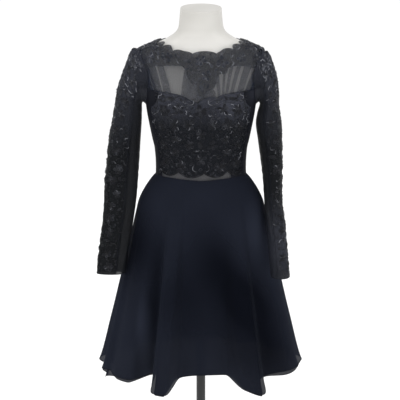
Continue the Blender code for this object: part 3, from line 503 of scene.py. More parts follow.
def chiffon_finish():
    # polyester chiffon: fine crinkled yarn, matt, with tone that differs at random and painted light and
    # shade
    made, tree, shader, where = finish_of(
        "navy_chiffon", "#171a22", 0.95, Alpha=0.96, Specular_IOR_Level=0.02, Sheen_Weight=0.04,
        Sheen_Roughness=0.8, Sheen_Tint=paint("#6c7286"))
    weave = threads(tree, 0.0009)       # real yarns are 0.15 mm apart, drawn wider so that they show
    cloud = add(tree, "TexNoise", {"Scale": 1 / 0.16, "Roughness": 0.4}, {"Vector": where})
    share = add(tree, "MapRange", {"To Min": 0.10, "To Max": 0.26}, {"Value": cloud})
    # painted light and shade: darker and paler patches placed on the cloth
    for x, y, z, across, deep, long, slant, more in zip(*PAINTED_LIGHT_AND_SHADE.values()):
        place = {"Location": (x, y, z), "Rotation": (0, -slant, 0), "Scale": (across, deep, long)}
        patch = add(tree, "Mapping", place, {"Vector": where}, vector_type="TEXTURE")
        share = paler_round(tree, patch, share, (0, 0, 0), 1.0, more)
    blend_colours(tree, shader, share, "#080a11", "#3e4352")
    crinkle = add(tree, "TexNoise", {"Scale": 1 / 0.0022}, {"Vector": where})
    bump(tree, shader, add(tree, "Math", links={0: weave, 1: crinkle}), 0.0001)
    return made


def cord_finish(name, dark, bright, first, last, painted_glint_patch_size, sides=0.0):
    # satin cord: viscose yarn couched round each motif, near black, with painted glints on patches of it.
    # More glints are painted high up, as painted top light, and fewer at the sides of the bodice, as painted
    # shade
    made, tree, shader, where = finish_of(name, dark, 0.42, Specular_IOR_Level=0.25)
    # painted glints: a noise picks the patches of cord that are painted bright
    share = add(tree, "TexNoise", {"Scale": 1 / painted_glint_patch_size}, {"Vector": where})
    place = add(tree, "SeparateXYZ", links={"Vector": where})
    out = add(tree, "Math", links={0: place.outputs["X"]}, operation="ABSOLUTE")
    # painted top light higher up, and painted shade towards the sides of the bodice
    for value, low, high, least, most in ((place.outputs["Z"], 1.15, 1.30, -0.04, 0.05),
                                          (out, 0.050, 0.105, 0.0, -sides)):
        more = add(tree, "MapRange", {"From Min": low, "From Max": high, "To Min": least, "To Max": most},
                   {"Value": value})
        share = add(tree, "Math", links={0: share, 1: more})
    blend_colours(tree, shader, share, dark, bright, first, last)
    bump(tree, shader, add(tree, "TexNoise", {"Scale": 1 / 0.0008}, {"Vector": where}), 0.00008)
    return made


def plain_finish(name, colour, roughness, grain, height, **sockets):
    """A finish of one colour with a fine grain: its size and height in metres."""
    made, tree, shader, where = finish_of(name, colour, roughness, **sockets)
    noise = add(tree, "TexNoise", {"Scale": 1 / grain, "Detail": 3.0}, {"Vector": where})
    rough = add(tree, "MapRange", {"To Min": roughness * 0.85, "To Max": roughness * 1.15}, {"Value": noise})
    tree.links.new(rough.outputs[0], shader.inputs["Roughness"])
    bump(tree, shader, noise, height)
    return made


SHELL = shell_finish()
CREPE = crepe_finish()
TULLE = tulle_finish("black_tulle", 0.40, 0.76, "#1f2430")
INSET_TULLE = tulle_finish("black_tulle_at_waist", 0.55, 0.85, "#1c1f28")
GATHER = tulle_finish("black_tulle_gathered", 0.20, 0.52, "#1d2332")
OPEN_NET = tulle_finish("black_lace_open_ground", 0.32, 0.64, "#20232c")
# painted light on the net: the spot, its reach and how much paler it is
WRIST_PAINTED_LIGHT = ((0.230, -0.100, 0.880), 0.17, 0.9)
CUP_PAINTED_LIGHT = ((0.085, -0.125, 1.260), 0.065, 0.6)
# each row: name, least and most cover, colour, a paler colour painted towards the top as top light, the
# heights between which it grows paler, and a spot of painted light
STRETCH_NET, LACE_NET, BUST_NET, SHOULDER_NET = (tulle_finish(*row) for row in (
    ("black_stretch_net", 0.88, 0.97, "#0f1115", "#2a2c34", (1.15, 1.39), WRIST_PAINTED_LIGHT),
    ("black_lace_ground", 0.84, 0.96, "#101215", "#30323a", (1.12, 1.36), WRIST_PAINTED_LIGHT),
    ("black_lace_ground_at_bust", 0.84, 0.96, "#14161b", "#393b44", (1.20, 1.30), CUP_PAINTED_LIGHT),
    ("black_lace_ground_at_shoulder", 0.80, 0.95, "#15171c", "#2e3038", (1.28, 1.37))))
CHIFFON = chiffon_finish()
# clothwork: the closely woven parts of lace, matt with a short nap, paler round the shoulders, where it has
# no dark cloth behind it
CLOTHWORK, OPEN_CLOTHWORK = (
    plain_finish(name, colour, 0.7, 0.0008, 0.00012, Specular_IOR_Level=0.08)
    for name, colour in (("black_lace_clothwork", "#1a1b20"), ("black_lace_clothwork_on_net", "#2a2c33")))
# the curls are the same near-black cord with more and brighter painted glints, in short runs
CORD, OPEN_CORD, SLEEVE_CORD, CURL, OPEN_CURL, SLEEVE_CURL = (cord_finish(*row) for row in (
    ("black_satin_cord", "#15161a", "#4c4e55", 0.46, 0.72, 0.014, 0.07),
    ("black_satin_cord_on_net", "#26282e", "#5c5e66", 0.46, 0.74, 0.014),
    ("black_satin_cord_on_sleeve", "#15161a", "#45474d", 0.46, 0.72, 0.014),
    ("smoke_satin_cord", "#17181c", "#808289", 0.42, 0.58, 0.016, 0.06),
    ("smoke_satin_cord_on_net", "#2a2c32", "#85878e", 0.46, 0.66, 0.016),
    ("smoke_satin_cord_on_sleeve", "#17181c", "#85878e", 0.45, 0.64, 0.016)))
ON_CREPE, ON_NET, ON_SLEEVE = ((CLOTHWORK, CORD, CURL), (OPEN_CLOTHWORK, OPEN_CORD, OPEN_CURL),
                               (CLOTHWORK, SLEEVE_CORD, SLEEVE_CURL))
# jet: pressed black glass, polished, with a small hard highlight
JET = plain_finish("jet_glass_bead", "#232428", 0.12, 0.003, 0.00001, IOR=1.55)
# smoke crystal: cut grey glass with a silvered back, the brightest specks of the lace; their pale grey is
# partly the glass's own and partly a painted highlight
CRYSTAL = plain_finish("smoke_crystal_bead", "#8e9198", 0.18, 0.003, 0.00001, Metallic=0.5)
# sewing thread: spun polyester, dull
THREAD = plain_finish("navy_sewing_thread", "#15171f", 0.7, 0.0004, 0.00004, Specular_IOR_Level=0.1)
# rolled hem: chiffon rolled tight and stitched, three thicknesses, so it reads darker than the cloth
ROLLED = plain_finish("rolled_chiffon_hem", "#10131c", 0.8, 0.0010, 0.00010, Specular_IOR_Level=0.08)
# zip coil: moulded nylon, satin
NYLON = plain_finish("black_nylon_coil", "#1d1e22", 0.4, 0.0008, 0.00002)
# zinc casting under black enamel: smooth, thin and slightly uneven at its edges
ENAMEL = plain_finish("black_enamelled_zinc", "#24252a", 0.3, 0.002, 0.00002, IOR=1.52, Coat_Weight=0.3)
# steel tube and plate under powder coat: satin black with a fine orange peel
POWDER_COAT = plain_finish("black_powder_coated_steel", "#17181a", 0.45, 0.0015, 0.00005)


# ---------------------------------------------------------------- the form and its stand
def build_form():
    """The shell: its sections, a flat foot, and a neck cap that leans forward with a softly rounded rim."""
    angles = np.linspace(-180, 180, 120, endpoint=False)
    heights = np.linspace(FORM["z"][0], FORM["z"][-1], 170)
    rings = [lifted(angles, z, -smooth(FORM, "tuck", z)) for z in heights]
    lean = math.tan(math.radians(NECK_LEAN_DEG))
    for z, ring in zip(heights, rings):
        share = np.clip((z - NECK_LEANS_FROM) / (heights[-1] - NECK_LEANS_FROM), 0, 1) ** 2
        ring[:, 2] += share * lean * (ring[:, 1] - ring[:, 1].mean())
    foot, edge = rings[0], rings[-1]
    under, rim = ([ring.mean(axis=0) + (ring - ring.mean(axis=0)) * share + [0, 0, rise]
                   for share, rise in turn] for ring, turn in ((foot, FOOT_TURN), (edge, NECK_TURN)))
    rings[0] = foot + [0, 0, FOOT_ROUND]
    grid = np.array(under + rings + rim)
    make("form_shell", grid, grid_faces(*grid.shape[:2], closed=True), SHELL, "white_form", "form_torso")


def spun(profile, steps):
    """Rings round the axis from (radius, height) pairs, as a grid."""
    return np.array([[(*(radius * spoke), z) for spoke in circle(steps)] for radius, z in profile])


def rounded(corners, radius):
    """A profile with its inner corners rounded."""
    out = [corners[0]]
    for before, here, after in zip(corners, corners[1:], corners[2:]):
        before, here, after = map(np.array, (before, here, after))
        a, b = (here + (end - here) * min(radius / max(np.linalg.norm(end - here), 1e-9), 0.45)
                for end in (before, after))
        for t in np.linspace(0, 1, 4):
            out.append(tuple((1 - t) ** 2 * a + 2 * t * (1 - t) * here + t * t * b))
    return out + [corners[-1]]


def build_stand():
    """Base, pole and socket, each spun from corners between two ends that close at the axis."""
    axis, top = 0.0002, FORM_BOTTOM - 0.0004
    for name, node, radius, steps, corners in (
            ("stand_disc", "stand_base", 0.0012, 160,
             [(0.180, 0), (0.180, 0.010), (0.034, 0.010), (0.030, 0.014), (0.030, 0.030)]),
            ("stand_tube", "stand_pole", 0.0008, 96, [(0.0127, 0.0304), (0.0127, 0.759)]),
            ("stand_flange", "stand_socket", 0.0012, 96,
             [(0.024, top - 0.040), (0.024, top - 0.028), (0.036, top - 0.006), (0.036, top)])):
        grid = spun(rounded([(axis, corners[0][1]), *corners, (axis, corners[-1][1])], radius), steps)
        piece = make(name, grid, grid_faces(*grid.shape[:2], closed=True), POWDER_COAT, "black_steel", node)
        piece.data.set_sharp_from_angle(angle=math.radians(40))


# ---------------------------------------------------------------- the bodice, yoke and inset
def armhole_edge(z):
    """Angle from the centre front where a panel stops: 90 at a seam, less in the armhole."""
    inside = np.clip(1 - ((z - ARMHOLE_MID) / ARMHOLE_RISE) ** 2, 0, 1)
    return 90 - ARMHOLE_DEG * np.sqrt(inside)


def panel_grid(low, high, share, rows, back=False):
    """(angle, height) of a panel's points between two lines. Share runs from the centre to the side."""
    share, steps = np.meshgrid(share, np.linspace(0, 1, rows))
    side, at = np.sign(share), np.abs(share) * 90
    for _ in range(14):
        angle = side * (180 - at if back else at)
        z = low(angle) * (1 - steps) + high(angle) * steps
        at = np.abs(share) * (armhole_edge(z) - 0.2)
    return side * (180 - at if back else at), z


def neck_edge(angle):
    """The neckline with its scallops, round at the top, pointed between and shallower at the shoulder."""
    by = angle - NECK_SCALLOPS["turn"] * (1 + np.cos(np.radians(angle))) / 2
    wave = np.abs(np.cos(NECK_SCALLOPS["count"] * np.radians(by))) ** NECK_SCALLOPS["round"]
    full = np.clip(np.abs(np.abs(angle) - 90) / NECK_SCALLOPS["fade"], 0, 1)
    return neckline(angle) + NECK_SCALLOPS["size"] * (0.5 + (wave - 0.5) * full)


def inset_top(angle):
    return waist_line(angle) + inset_height(angle)


def scallop_foot(angle):
    """Lower edge of the bodice's lace: round scallops over the sheer inset."""
    by = np.radians(angle - WAIST_SCALLOPS["turn"])
    wave = np.abs(np.cos(by * WAIST_SCALLOPS["count"])) ** WAIST_SCALLOPS["round"]
    room, least = inset_height(angle) / INSET_HEIGHT["z"][0], WAIST_SCALLOPS["least"]
    return inset_top(angle) - WAIST_SCALLOPS["size"] * room * (least + (1 - least) * wave)


def lace_top(angle):
    """Upper edge of the bodice's lace: the cups' line, with one small scallop over the centre."""
    return sweetheart(angle) + 0.013 * np.sqrt(np.clip(1 - ((angle - 5.5) / 7.5) ** 2, 0, 1))


def collar_low(angle):
    """Lower edge of the front collar's lace, which hangs to a point at the centre."""
    return smooth(FRONT_COLLAR, "z", angle, key="angle")


def build_panels():
    """Front and backs of the opaque bodice, the sheer inset at the waist and the sheer yoke."""
    satin, tulle, inset = (CREPE, "navy_satin"), (TULLE, "black_tulle"), (INSET_TULLE, "black_tulle")
    first, last = (edge / 90 for edge in INSET_SIDES)
    rows = [("bodice_front", "bodice_front_crepe", inset_top, sweetheart, satin, 80, 130, (-1, 1)),
            ("waist_inset", "waist_inset_tulle", waist_line, inset_top, inset, 14, 90, (first, last)),
            ("waist_left", "waist_side_left_crepe", waist_line, inset_top, satin, 10, 40, (-1, first)),
            ("waist_right", "waist_side_right_crepe", waist_line, inset_top, satin, 10, 40, (last, 1)),
            ("yoke_front", "yoke_front_tulle", sweetheart, neck_edge, tulle, 50, 220, (-1, 1))]
    for name, half in (("left", (-BACK_GAP, -1)), ("right", (1, BACK_GAP))):
        rows += [("bodice_back_" + name, f"bodice_back_{name}_crepe", waist_line, back_line, satin, 70, 60,
                  half),
                 ("yoke_back_" + name, f"yoke_back_{name}_tulle", back_line, neck_edge, tulle, 50, 80, half)]
    made = {}
    for key, name, low, high, finish, down, across, half in rows:
        angle, z = panel_grid(low, high, np.linspace(*half, across), down, "back" in key)
        made[key] = cloth(name, lifted(angle, z, ON_FORM), *finish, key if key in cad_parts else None)
    return made


# tulle gathered into the bust, a row for each fold: where its two edges meet the collar above and the
# bodice's top edge below, as angles, then its flat width, length and area. Several lie over each other
GATHERS = [
    (-13.0, -3.0, -18.5, -2.0, 0.045, 0.085, 0.0022), (-42.0, -34.5, -38.0, -28.5, 0.024, 0.072, 0.0014),
    (-57.0, -44.5, -51.5, -39.5, 0.027, 0.067, 0.0017), (-80.0, -55.0, -63.0, -47.0, 0.030, 0.060, 0.0014),
    (-72.0, -61.0, -60.0, -53.0, 0.013, 0.056, 0.0006), (-86.0, -64.0, -68.0, -57.0, 0.012, 0.056, 0.0003),
    (-3.4, 3.8, -2.6, 3.4, 0.010, 0.050, 0.0002), (4.0, 9.5, 3.0, 14.0, 0.024, 0.026, 0.0005),
    (12.5, 15.0, 15.0, 18.0, 0.010, 0.058, 0.0005), (19.0, 21.5, 19.0, 21.5, 0.010, 0.056, 0.0004),
    (25.0, 29.0, 22.5, 25.5, 0.011, 0.073, 0.0007), (32.5, 37.5, 27.5, 32.0, 0.014, 0.072, 0.0009),
    (41.5, 52.0, 36.0, 45.0, 0.024, 0.068, 0.0014), (57.0, 82.0, 47.0, 66.0, 0.028, 0.058, 0.0013),
    (67.0, 86.0, 56.0, 70.0, 0.012, 0.056, 0.0003),
]


def build_gathers():
    """Folds of the yoke's tulle, fanned from the bust up to the collar, each a second thickness."""
    pieces = []
    up, across = np.linspace(0, 1, 36)[:, None], np.linspace(0, 1, 12)[None, :]
    for number, (top_a, top_b, foot_a, foot_b, *_) in enumerate(GATHERS):
        top, foot = top_a + (top_b - top_a) * across, foot_a + (foot_b - foot_a) * across
        angle = foot + (top - foot) * up
        z = lace_top(angle) * (1 - up) + (collar_low(angle) + 0.002) * up
        edge = armhole_edge(z) - 1.0
        swell = np.sin(np.pi * across) ** 0.5 * (0.0006 + 0.0010 * np.sin(np.pi * up) ** 2)
        grid = lifted(np.clip(angle, -edge, edge), z, ON_FORM + 0.0004 + 0.0003 * (number % 3) + swell)
        pieces.append(cloth(f"yoke_gather_{number + 1:02d}", grid, GATHER, "black_tulle"))
    return pieces


# ---------------------------------------------------------------- the skirt
def grid_normals(grid, closed):
    across = np.roll(grid, -1, axis=1) - np.roll(grid, 1, axis=1) if closed else np.gradient(grid, axis=1)
    return unit(np.cross(across, np.gradient(grid, axis=0)))


def skirt_ring(angle, down):
    """One ring of the skirt. Down is 0 at the waist seam and 1 at the hem."""
    top, highest = waist_line(angle), FOLDS_OUT["z"][-1]
    z = highest + (HEM - highest) * down + np.zeros_like(angle)
    crest, valley = section_point(FOLDS_OUT, angle, z), section_point(FOLDS_IN, angle, z)
    reach, drop = (smooth(FOLDS, column, angle, key="angle") for column in ("reach", "drop"))
    ring = valley + (crest - valley) * reach[:, None]
    ring[:, 2] = top + (HEM - top) * down - drop * down ** 2
    return ring


def skirt_grid(columns, rows):
    """Angles, points and outward normals of the skirt, with columns closer where the hem turns."""
    fine = np.linspace(-180, 180, 1441)
    length = lengths(skirt_ring(fine, 1.0))
    travel = length / length[-1] + 0.25 * (fine + 180) / 360
    angle = np.interp(np.arange(columns) / columns * travel[-1], travel, fine)
    outer = np.array([skirt_ring(angle, down) for down in np.linspace(0, 1, rows)])
    for _ in range(round(2 * (FOLD_SOFTNESS * columns / HEM_ROUND) ** 2)):
        outer[:, :, :2] = (np.roll(outer, 1, axis=1) + 2 * outer + np.roll(outer, -1, axis=1))[:, :, :2] / 4
    outer[0] = lifted(angle, outer[0, :, 2], ON_FORM)
    return angle, outer, grid_normals(outer[::-1], True)[::-1]


def build_skirt():
    """The top layer of chiffon from the waist seam, and a second one under it whose hem drops lower."""
    _, top, outward = skirt_grid(520, 84)
    angle, under, normals = skirt_grid(380, 54)
    down = np.linspace(0, 1, 54)[:, None]
    under = under - normals * (WALL + smooth(UNDER_GAP, "gap", down, key="down"))[:, None]
    under[:, :, 2] -= smooth(UNDER_HEM, "drop", angle, key="angle") * down ** 3
    layers = {"top": (top, outward), "under": (under, normals)}
    sheets = {key: cloth(f"skirt_{key}_chiffon", grid, CHIFFON, "navy_chiffon", f"skirt_{key}_layer", True,
                         True)
              for key, (grid, _) in layers.items()}
    hems = {key: tubes(f"skirt_{key}_rolled_hem", [(grid[-1], outward[-1], 0.0009, True)], ROLLED,
                       "navy_chiffon") for key, (grid, outward) in layers.items()}
    return {key: (sheets[key], *layers[key], hems[key]) for key in layers}


# ---------------------------------------------------------------- the sleeves
def oval(middle, along, half_length, half_depth, turn):
    """A ring round a middle: along points from the body outwards, and 90 degrees is the front."""
    out = np.outer(np.cos(turn) * half_length, along)
    out[:, 1] -= np.sin(turn) * half_depth
    return middle + out


def sleeve_rings(side, head, arm, turn):
    """The rings the sleeve passes through, from the armhole down. A turn of 0 is the outside."""
    z = ARMHOLE_MID + (ARMHOLE_RISE - 0.0010) * np.cos(turn)
    hole = lifted(side * (90 - (ARMHOLE_DEG - 0.6) * np.sin(turn)), z, ON_FORM)
    rings = [hole]
    pivot = np.array([side * UNDERARM_X, 0, UNDERARM_Z])
    for tilt, share in zip(HEAD_TURNS, HEAD_BLEND):
        along = np.array([side * math.sin(math.radians(tilt)), 0, math.cos(math.radians(tilt))])
        reach = float(smooth(head, "reach", tilt, key="turn"))
        depth = HEAD_DEPTH + (arm["depth"][0] - HEAD_DEPTH) * tilt / 90
        middle = pivot + along * (reach + UNDERARM_RADIUS) / 2
        ring = oval(middle, along, (reach - UNDERARM_RADIUS) / 2, depth / 2, turn)
        rings.append(hole * (1 - share) + ring * share)
    for z, inner, outer, y, depth in list(zip(*arm.values()))[1:]:
        middle = np.array([side * (inner + outer) / 2, y, z])
        rings.append(oval(middle, np.array([side, 0, 0]), (outer - inner) / 2, depth / 2, turn))
    return np.array(rings)


def through(rings, count):
    """More rings, by a smooth curve through the given ones."""
    gap = np.linalg.norm(np.diff(rings, axis=0), axis=2).mean(axis=1)
    at = np.concatenate([[0], np.cumsum(gap)])
    slope = np.gradient(rings, at, axis=0)
    want = np.linspace(0, at[-1], count)
    i = np.clip(np.searchsorted(at, want) - 1, 0, len(at) - 2)
    gap = at[i + 1] - at[i]
    length, t = (part[:, None, None] for part in (gap, (want - at[i]) / gap))
    return hermite(rings[i], rings[i + 1], slope[i], slope[i + 1], length, t)


def sleeve_swell(turn, down, side, full):
    """How far a sleeve stands off its rings.

    It has soft creases across the arm, deepest at the elbow, the wrist and under the shoulder, and a
    little fullness that is eased into its head beside the seam.
    """
    turn, down = np.meshgrid(turn, down)
    deep = sum(share * np.exp(-((down - at) / wide) ** 2)
               for at, wide, share in ((0.17, 0.05, 0.7), (0.50, 0.10, 1.0), (0.90, 0.08, 0.9)))
    wave = np.sin(2 * np.pi * down / 0.047 + 1.6 * np.sin(turn + 0.7 * side) + side)
    wave += 0.6 * np.sin(2 * np.pi * down / 0.031 - 2.1 * np.cos(turn - 0.5) + 2)
    crease = 0.0009 * deep * wave * (0.35 + 0.65 * np.cos(turn / 2 + 0.4 * side) ** 2)
    return crease + full * (1 - np.exp(-down / 0.004)) * np.exp(-(down / 0.055) ** 2) * np.cos(turn / 2) ** 6


def sleeve_normals(grid, side):
    normals = side * grid_normals(grid[:, :-1], True)
    return np.concatenate([normals, normals[:, :1]], axis=1)


def build_sleeves():
    """Long fitted sleeves of stretch net. Each sheet's middle column runs down the outside of the arm."""
    made = {}
    turn, down = np.linspace(-np.pi, np.pi, 97), np.linspace(0, 1, 150)
    for name, side, head, arm, full in (("left", -1, LEFT_HEAD, LEFT_ARM, 0.0050),
                                        ("right", 1, RIGHT_HEAD, RIGHT_ARM, 0.0012)):
        grid = through(sleeve_rings(side, head, arm, turn), len(down))
        grid = grid + sleeve_normals(grid, side) * sleeve_swell(turn, down, side, full)[..., None]
        normals = sleeve_normals(grid, side)
        net = cloth(f"sleeve_{name}_net", grid, STRETCH_NET, "black_tulle", f"sleeve_{name}", flip=side < 0)
        edges = [tubes(f"sleeve_{name}_{edge}", [(grid[row, :-1], normals[row, :-1], radius, True)
                                                 for row, radius in rows], THREAD, "black_tulle")
                 for edge, rows in (("cuff_edge", ((-1, 0.0009), (-4, 0.0005))),
                                    ("armhole_seam", ((0, 0.0009),)))]
        made[name] = net, Sheet(grid, normals, len(turn) // 2), edges
    return made


# ---------------------------------------------------------------- corded lace
def toward(heading):
    return np.array([math.cos(heading), math.sin(heading)])


def blade(length, width, widest, bend=0.0, count=8):
    """A petal or a leaf along +x from its root: its left edge, rib and right edge."""
    s = np.linspace(0, 1, count)
    half = width / 2 * np.sin(np.pi * s ** (math.log(0.5) / math.log(widest))) ** 0.75
    rib = np.stack([length * s, bend * length * s ** 2], axis=1)
    aside = unit(np.stack([-2 * bend * s, np.ones(count)], axis=1))
    return np.stack([rib + aside * half[:, None], rib, rib - aside * half[:, None]])


def moved(points, at, turn):
    """Points of a motif turned and moved to a place on the cloth."""
    c, s = toward(turn)
    return points @ np.array([[c, s], [-s, c]]) + at


class Lace:
    """Corded lace on one sheet, by distances in metres: woven parts, the cords round them and beads."""

    def __init__(self, sheet, lift, finishes):
        self.sheet, self.lift, self.finishes = sheet, lift, finishes
        self.cords, self.curls, self.parts, self.spots = [], [], [], []

    def cord(self, path, thick=1.0, closed=False, over=0.0, curl=False):
        """A cord, thicker or thinner than others, or a run of the one with more painted glints."""
        radius = CORD_RADIUS * thick
        runs = self.curls if curl else self.cords
        runs.append((np.asarray(path), radius, closed, self.lift + over + radius * 0.5))

    def bead(self, at, radius=0.0011):
        self.spots.append((at, radius))

    def part(self, sides, woven=True, rib=None):
        """A woven part, or its outline alone, with a cord round it and a thin one along its rib."""
        if woven:
            self.parts.append(sides)
        self.cord(np.concatenate([sides[0], sides[2][-2:0:-1]]), closed=True)
        if rib:
            self.cord(sides[1][:rib], 0.6, over=0.0004)

    def leaf(self, at, turn, length, width, bend=0.15, rib=-2):
        self.part(moved(blade(length, width, 0.42, bend), at, turn), rib=rib)

    def flower(self, at, turn, radius, petals):
        """An open flower: uneven petals apart from each other, one only outlined, and curls between them."""
        root = radius * 0.17
        for number in range(petals):
            angle = turn + 2 * math.pi * number / petals + 0.16 * math.sin(3 * number + 9 * turn)
            reach = (radius - root) * (0.72 + 0.28 * abs(math.sin(1.7 * number + 5 * turn)))
            sides = moved(blade(reach, radius * 0.50, 0.60, 0.30 * math.sin(2 * number + turn)),
                          at + root * toward(angle), angle)
            self.part(sides, number != 3, 5)
            if number in (0, 2):
                self.cord(sides[number][2:-1], 1.2, over=0.0006, curl=True)
            if number % 2:
                self.tendril(at + 0.45 * radius * toward(angle), angle + math.pi / petals, 0.42 * radius,
                             1 if number % 4 == 1 else -1)
        self.cord(at + root * circle(9), closed=True, over=0.0003)
        self.bead(at, 0.0012)

    def tendril(self, at, turn, size, hand=1):
        """A cord that curls in on itself."""
        t = np.linspace(0, 1, 16)
        angle, reach = 2.6 * math.pi * t, (1 - 0.86 * t) * size / 2
        curl = np.stack([size / 2 - reach * np.cos(angle), hand * reach * np.sin(angle)], axis=1)
        self.cord(moved(curl, at, turn))

    def squiggle(self, at, turn, length, hand=1):
        """A short waved run of the cord with more painted glints."""
        t = np.linspace(-0.5, 0.5, 12)
        wave = hand * 0.20 * length * np.sin(2 * math.pi * 1.05 * t + 0.6) * (1 - 0.6 * t)
        self.cord(moved(np.stack([length * t, wave], axis=1), at, turn), 1.3, over=0.0006, curl=True)

    def scroll(self, at, turn, length, hand=1):
        """A long bent cord that ends in a curl each way."""
        t = np.linspace(0, 1, 10)
        stem = moved(np.stack([length * t, hand * 0.30 * length * np.sin(math.pi * t)], axis=1), at, turn)
        self.cord(stem, 1.3, over=0.0002, curl=True)
        for number, side in enumerate((-1, 1)):
            self.tendril(stem[-1], turn - hand * 0.7 + side * 0.9, length * (0.42 - 0.12 * number),
                         side * hand)
        self.tendril(at, turn + math.pi + hand * 0.6, length * 0.34, hand)

    def sprig(self, at, turn, length, hand=1):
        """A bent stem with leaves in pairs, a bud at its tip."""
        def stem(t):
            return np.stack([length * t, hand * 0.22 * length * t ** 2], axis=-1)

        self.cord(moved(stem(np.linspace(0, 1, 9)), at, turn))
        for number, share in enumerate((0.18, 0.42, 0.66, 0.88)):
            lean = math.atan(hand * 0.44 * share)
            size = length * (0.40 - 0.07 * number)
            for side in (-1, 1):
                self.leaf(moved(stem(share), at, turn), turn + lean + side * 0.85, size, size * 0.42,
                          side * -0.15, rib=None)
        self.bead(moved(stem(1.0) * 1.08, at, turn))

    def build(self, name):
        """Its pieces: the woven parts, the cords, the curls and the beads."""
        woven, *cords = self.finishes
        sides = np.array(self.parts)
        count = sides.shape[2]
        crown = np.array([0.0001, 0.0006, 0.0001])[:, None]
        points, _ = self.sheet.place(sides[..., 0], sides[..., 1], self.lift + crown)
        faces = grid_faces(3, count)[None] + (np.arange(len(sides)) * 3 * count)[:, None, None]
        made = [make(name + "_clothwork", points, faces.reshape(-1, 4), woven, "black_lace", None, sides)]
        for kind, group, finish in zip(("cords", "curls"), (self.cords, self.curls), cords):
            paths = np.concatenate([path for path, *_ in group])
            lift = np.concatenate([np.full(len(path), lift) for path, *_, lift in group])
            ends = np.cumsum([len(path) for path, *_ in group])[:-1]
            placed = (np.split(grid, ends) for grid in self.sheet.place(*paths.T, lift))
            runs = [(*run, radius, closed) for *run, (_, radius, closed, _) in zip(*placed, group)]
            made.append(tubes(f"{name}_{kind}", runs, finish, sides=4))
        at, size = (np.array(column) for column in zip(*self.spots))
        points, _ = self.sheet.place(*at.T, self.lift + size * 0.8 + 0.0004)
        bright = np.arange(len(at)) % 13 == 4
        for kind, finish, here in (("beads", JET, ~bright), ("bright_beads", CRYSTAL, bright)):
            if here.any():
                made.append(beads(f"{name}_{kind}", points[here], size[here], finish))
        return made


def scatter(sheet, inside, radius, seed, taken, mirrored, tries=2600):
    """Places for round motifs that keep inside an outline and clear of each other, as (across, along)."""
    rng = np.random.default_rng(seed)
    low = radius * 0.4 if mirrored else sheet.across.min()
    spots = np.stack([rng.uniform(low, sheet.across.max(), tries),
                      rng.uniform(0, sheet.along[-1], tries)], axis=1)
    rim = spots[:, None] + radius * circle(8)[None]
    found = []
    for x, y in spots[inside(rim[..., 0], rim[..., 1]).all(axis=1)]:
        if mirrored and abs(x) < radius:
            x = 0.0
        if all((x - a) ** 2 + (y - b) ** 2 > (radius + r) ** 2 for a, b, r in taken):
            taken.append((x, y, radius))
            found.append((x, y))
            if mirrored and x:
                taken.append((-x, y, radius))
    return found


def fill_with_lace(lace, inside, seed, mirrored=False, size=0.0160, gap=0.0056):
    """Flowers with stems between them, then scrolls, sprigs, leaves and curls in the room that is left."""
    rng = np.random.default_rng(seed)
    taken, blooms, room = [], [], 0.0030

    def places(radius, step):
        """(at, heading, hand, kind) of motifs of one size, with their mirror images."""
        for x, y in scatter(lace.sheet, inside, radius, seed + step, taken, mirrored):
            turn = math.pi / 2 if mirrored and x == 0 else rng.uniform(0, 2 * math.pi)
            kind = rng.random()
            for hand in (1, -1) if mirrored and x else (1,):
                yield np.array([hand * x, y]), turn if hand > 0 else math.pi - turn, hand, kind

    for at, heading, _, kind in places(size + room, 0):
        radius = size * (0.90 + 0.30 * kind)
        lace.flower(at, heading, radius, 5 if kind < 0.6 else 6)
        blooms.append((at, radius))
    for number, (at, radius) in enumerate(blooms):
        for other, (end, far) in enumerate(blooms[:number]):
            span = math.hypot(*(end - at))
            if span < radius + far + 4 * room and (number + other) % 3:
                ahead, t = (end - at) / span, np.linspace(0, 1, 8)
                run = span - radius - far
                bow = 0.35 * run * np.sin(2 * np.pi * t) * (1 if number % 2 else -1)
                lace.cord(at + ahead * radius + np.outer(run * t, ahead)
                          + np.outer(bow, [-ahead[1], ahead[0]]))
    for at, heading, hand, kind in places(0.0110, 1):
        motif, back, length = (lace.scroll, 0.0085, 0.0165) if kind < 0.5 else (lace.sprig, 0.0112, 0.0205)
        motif(at - back * toward(heading), heading, length, hand)
    # two sizes of small motifs: how far back a leaf and a curl start, and how long and wide they are
    for share, step, back, leaf, wide, bend, rib, wave, start, curl in (
            (1.0, 2, 1.1, 2.3, 0.90, 0.25, -2, 3.0, 0.95, 2.2),
            (0.5, 3, 0.5, 1.1, 0.50, 0.20, None, 1.7, 0.50, 1.1)):
        for at, heading, hand, kind in places(gap * share, step):
            if kind < 0.35:
                lace.leaf(at - gap * back * toward(heading), heading, gap * leaf, gap * wide, bend * hand,
                          rib)
            elif kind < 0.60:
                lace.squiggle(at, heading, gap * wave, hand)
            elif kind < 0.85:
                lace.tendril(at - gap * start * toward(heading), heading, gap * curl, hand)
            elif step == 2:
                lace.cord(at + gap * 0.55 * circle(10), closed=True)
                lace.bead(at, 0.0012)
            else:
                lace.bead(at, 0.0010)


def inside_of(sheet, low, high, left, right):
    """Tests distances on the torso's sheet against lines at each angle and the angles at both sides."""
    def test(across, along):
        row, part, column = sheet.cell(across, along)
        z = sheet.rows[row] * (1 - part) + sheet.rows[row + 1] * part
        where = column[0] * (1 - part) + column[1] * part
        angle = np.interp(where, np.arange(len(sheet.columns)), sheet.columns)
        span = armhole_edge(z)
        return (z > low(angle)) & (z < high(angle)) & (angle > left(span)) & (angle < right(span))
    return test


def edge_cords(edge, angles, *cords):
    """Cords along an edge of the torso's lace: a radius and an offset inwards for each."""
    return [(*on_torso(angles, edge(angles) + offset, ON_CLOTH + 0.0006 + radius * 0.4), radius, False)
            for radius, offset in cords]


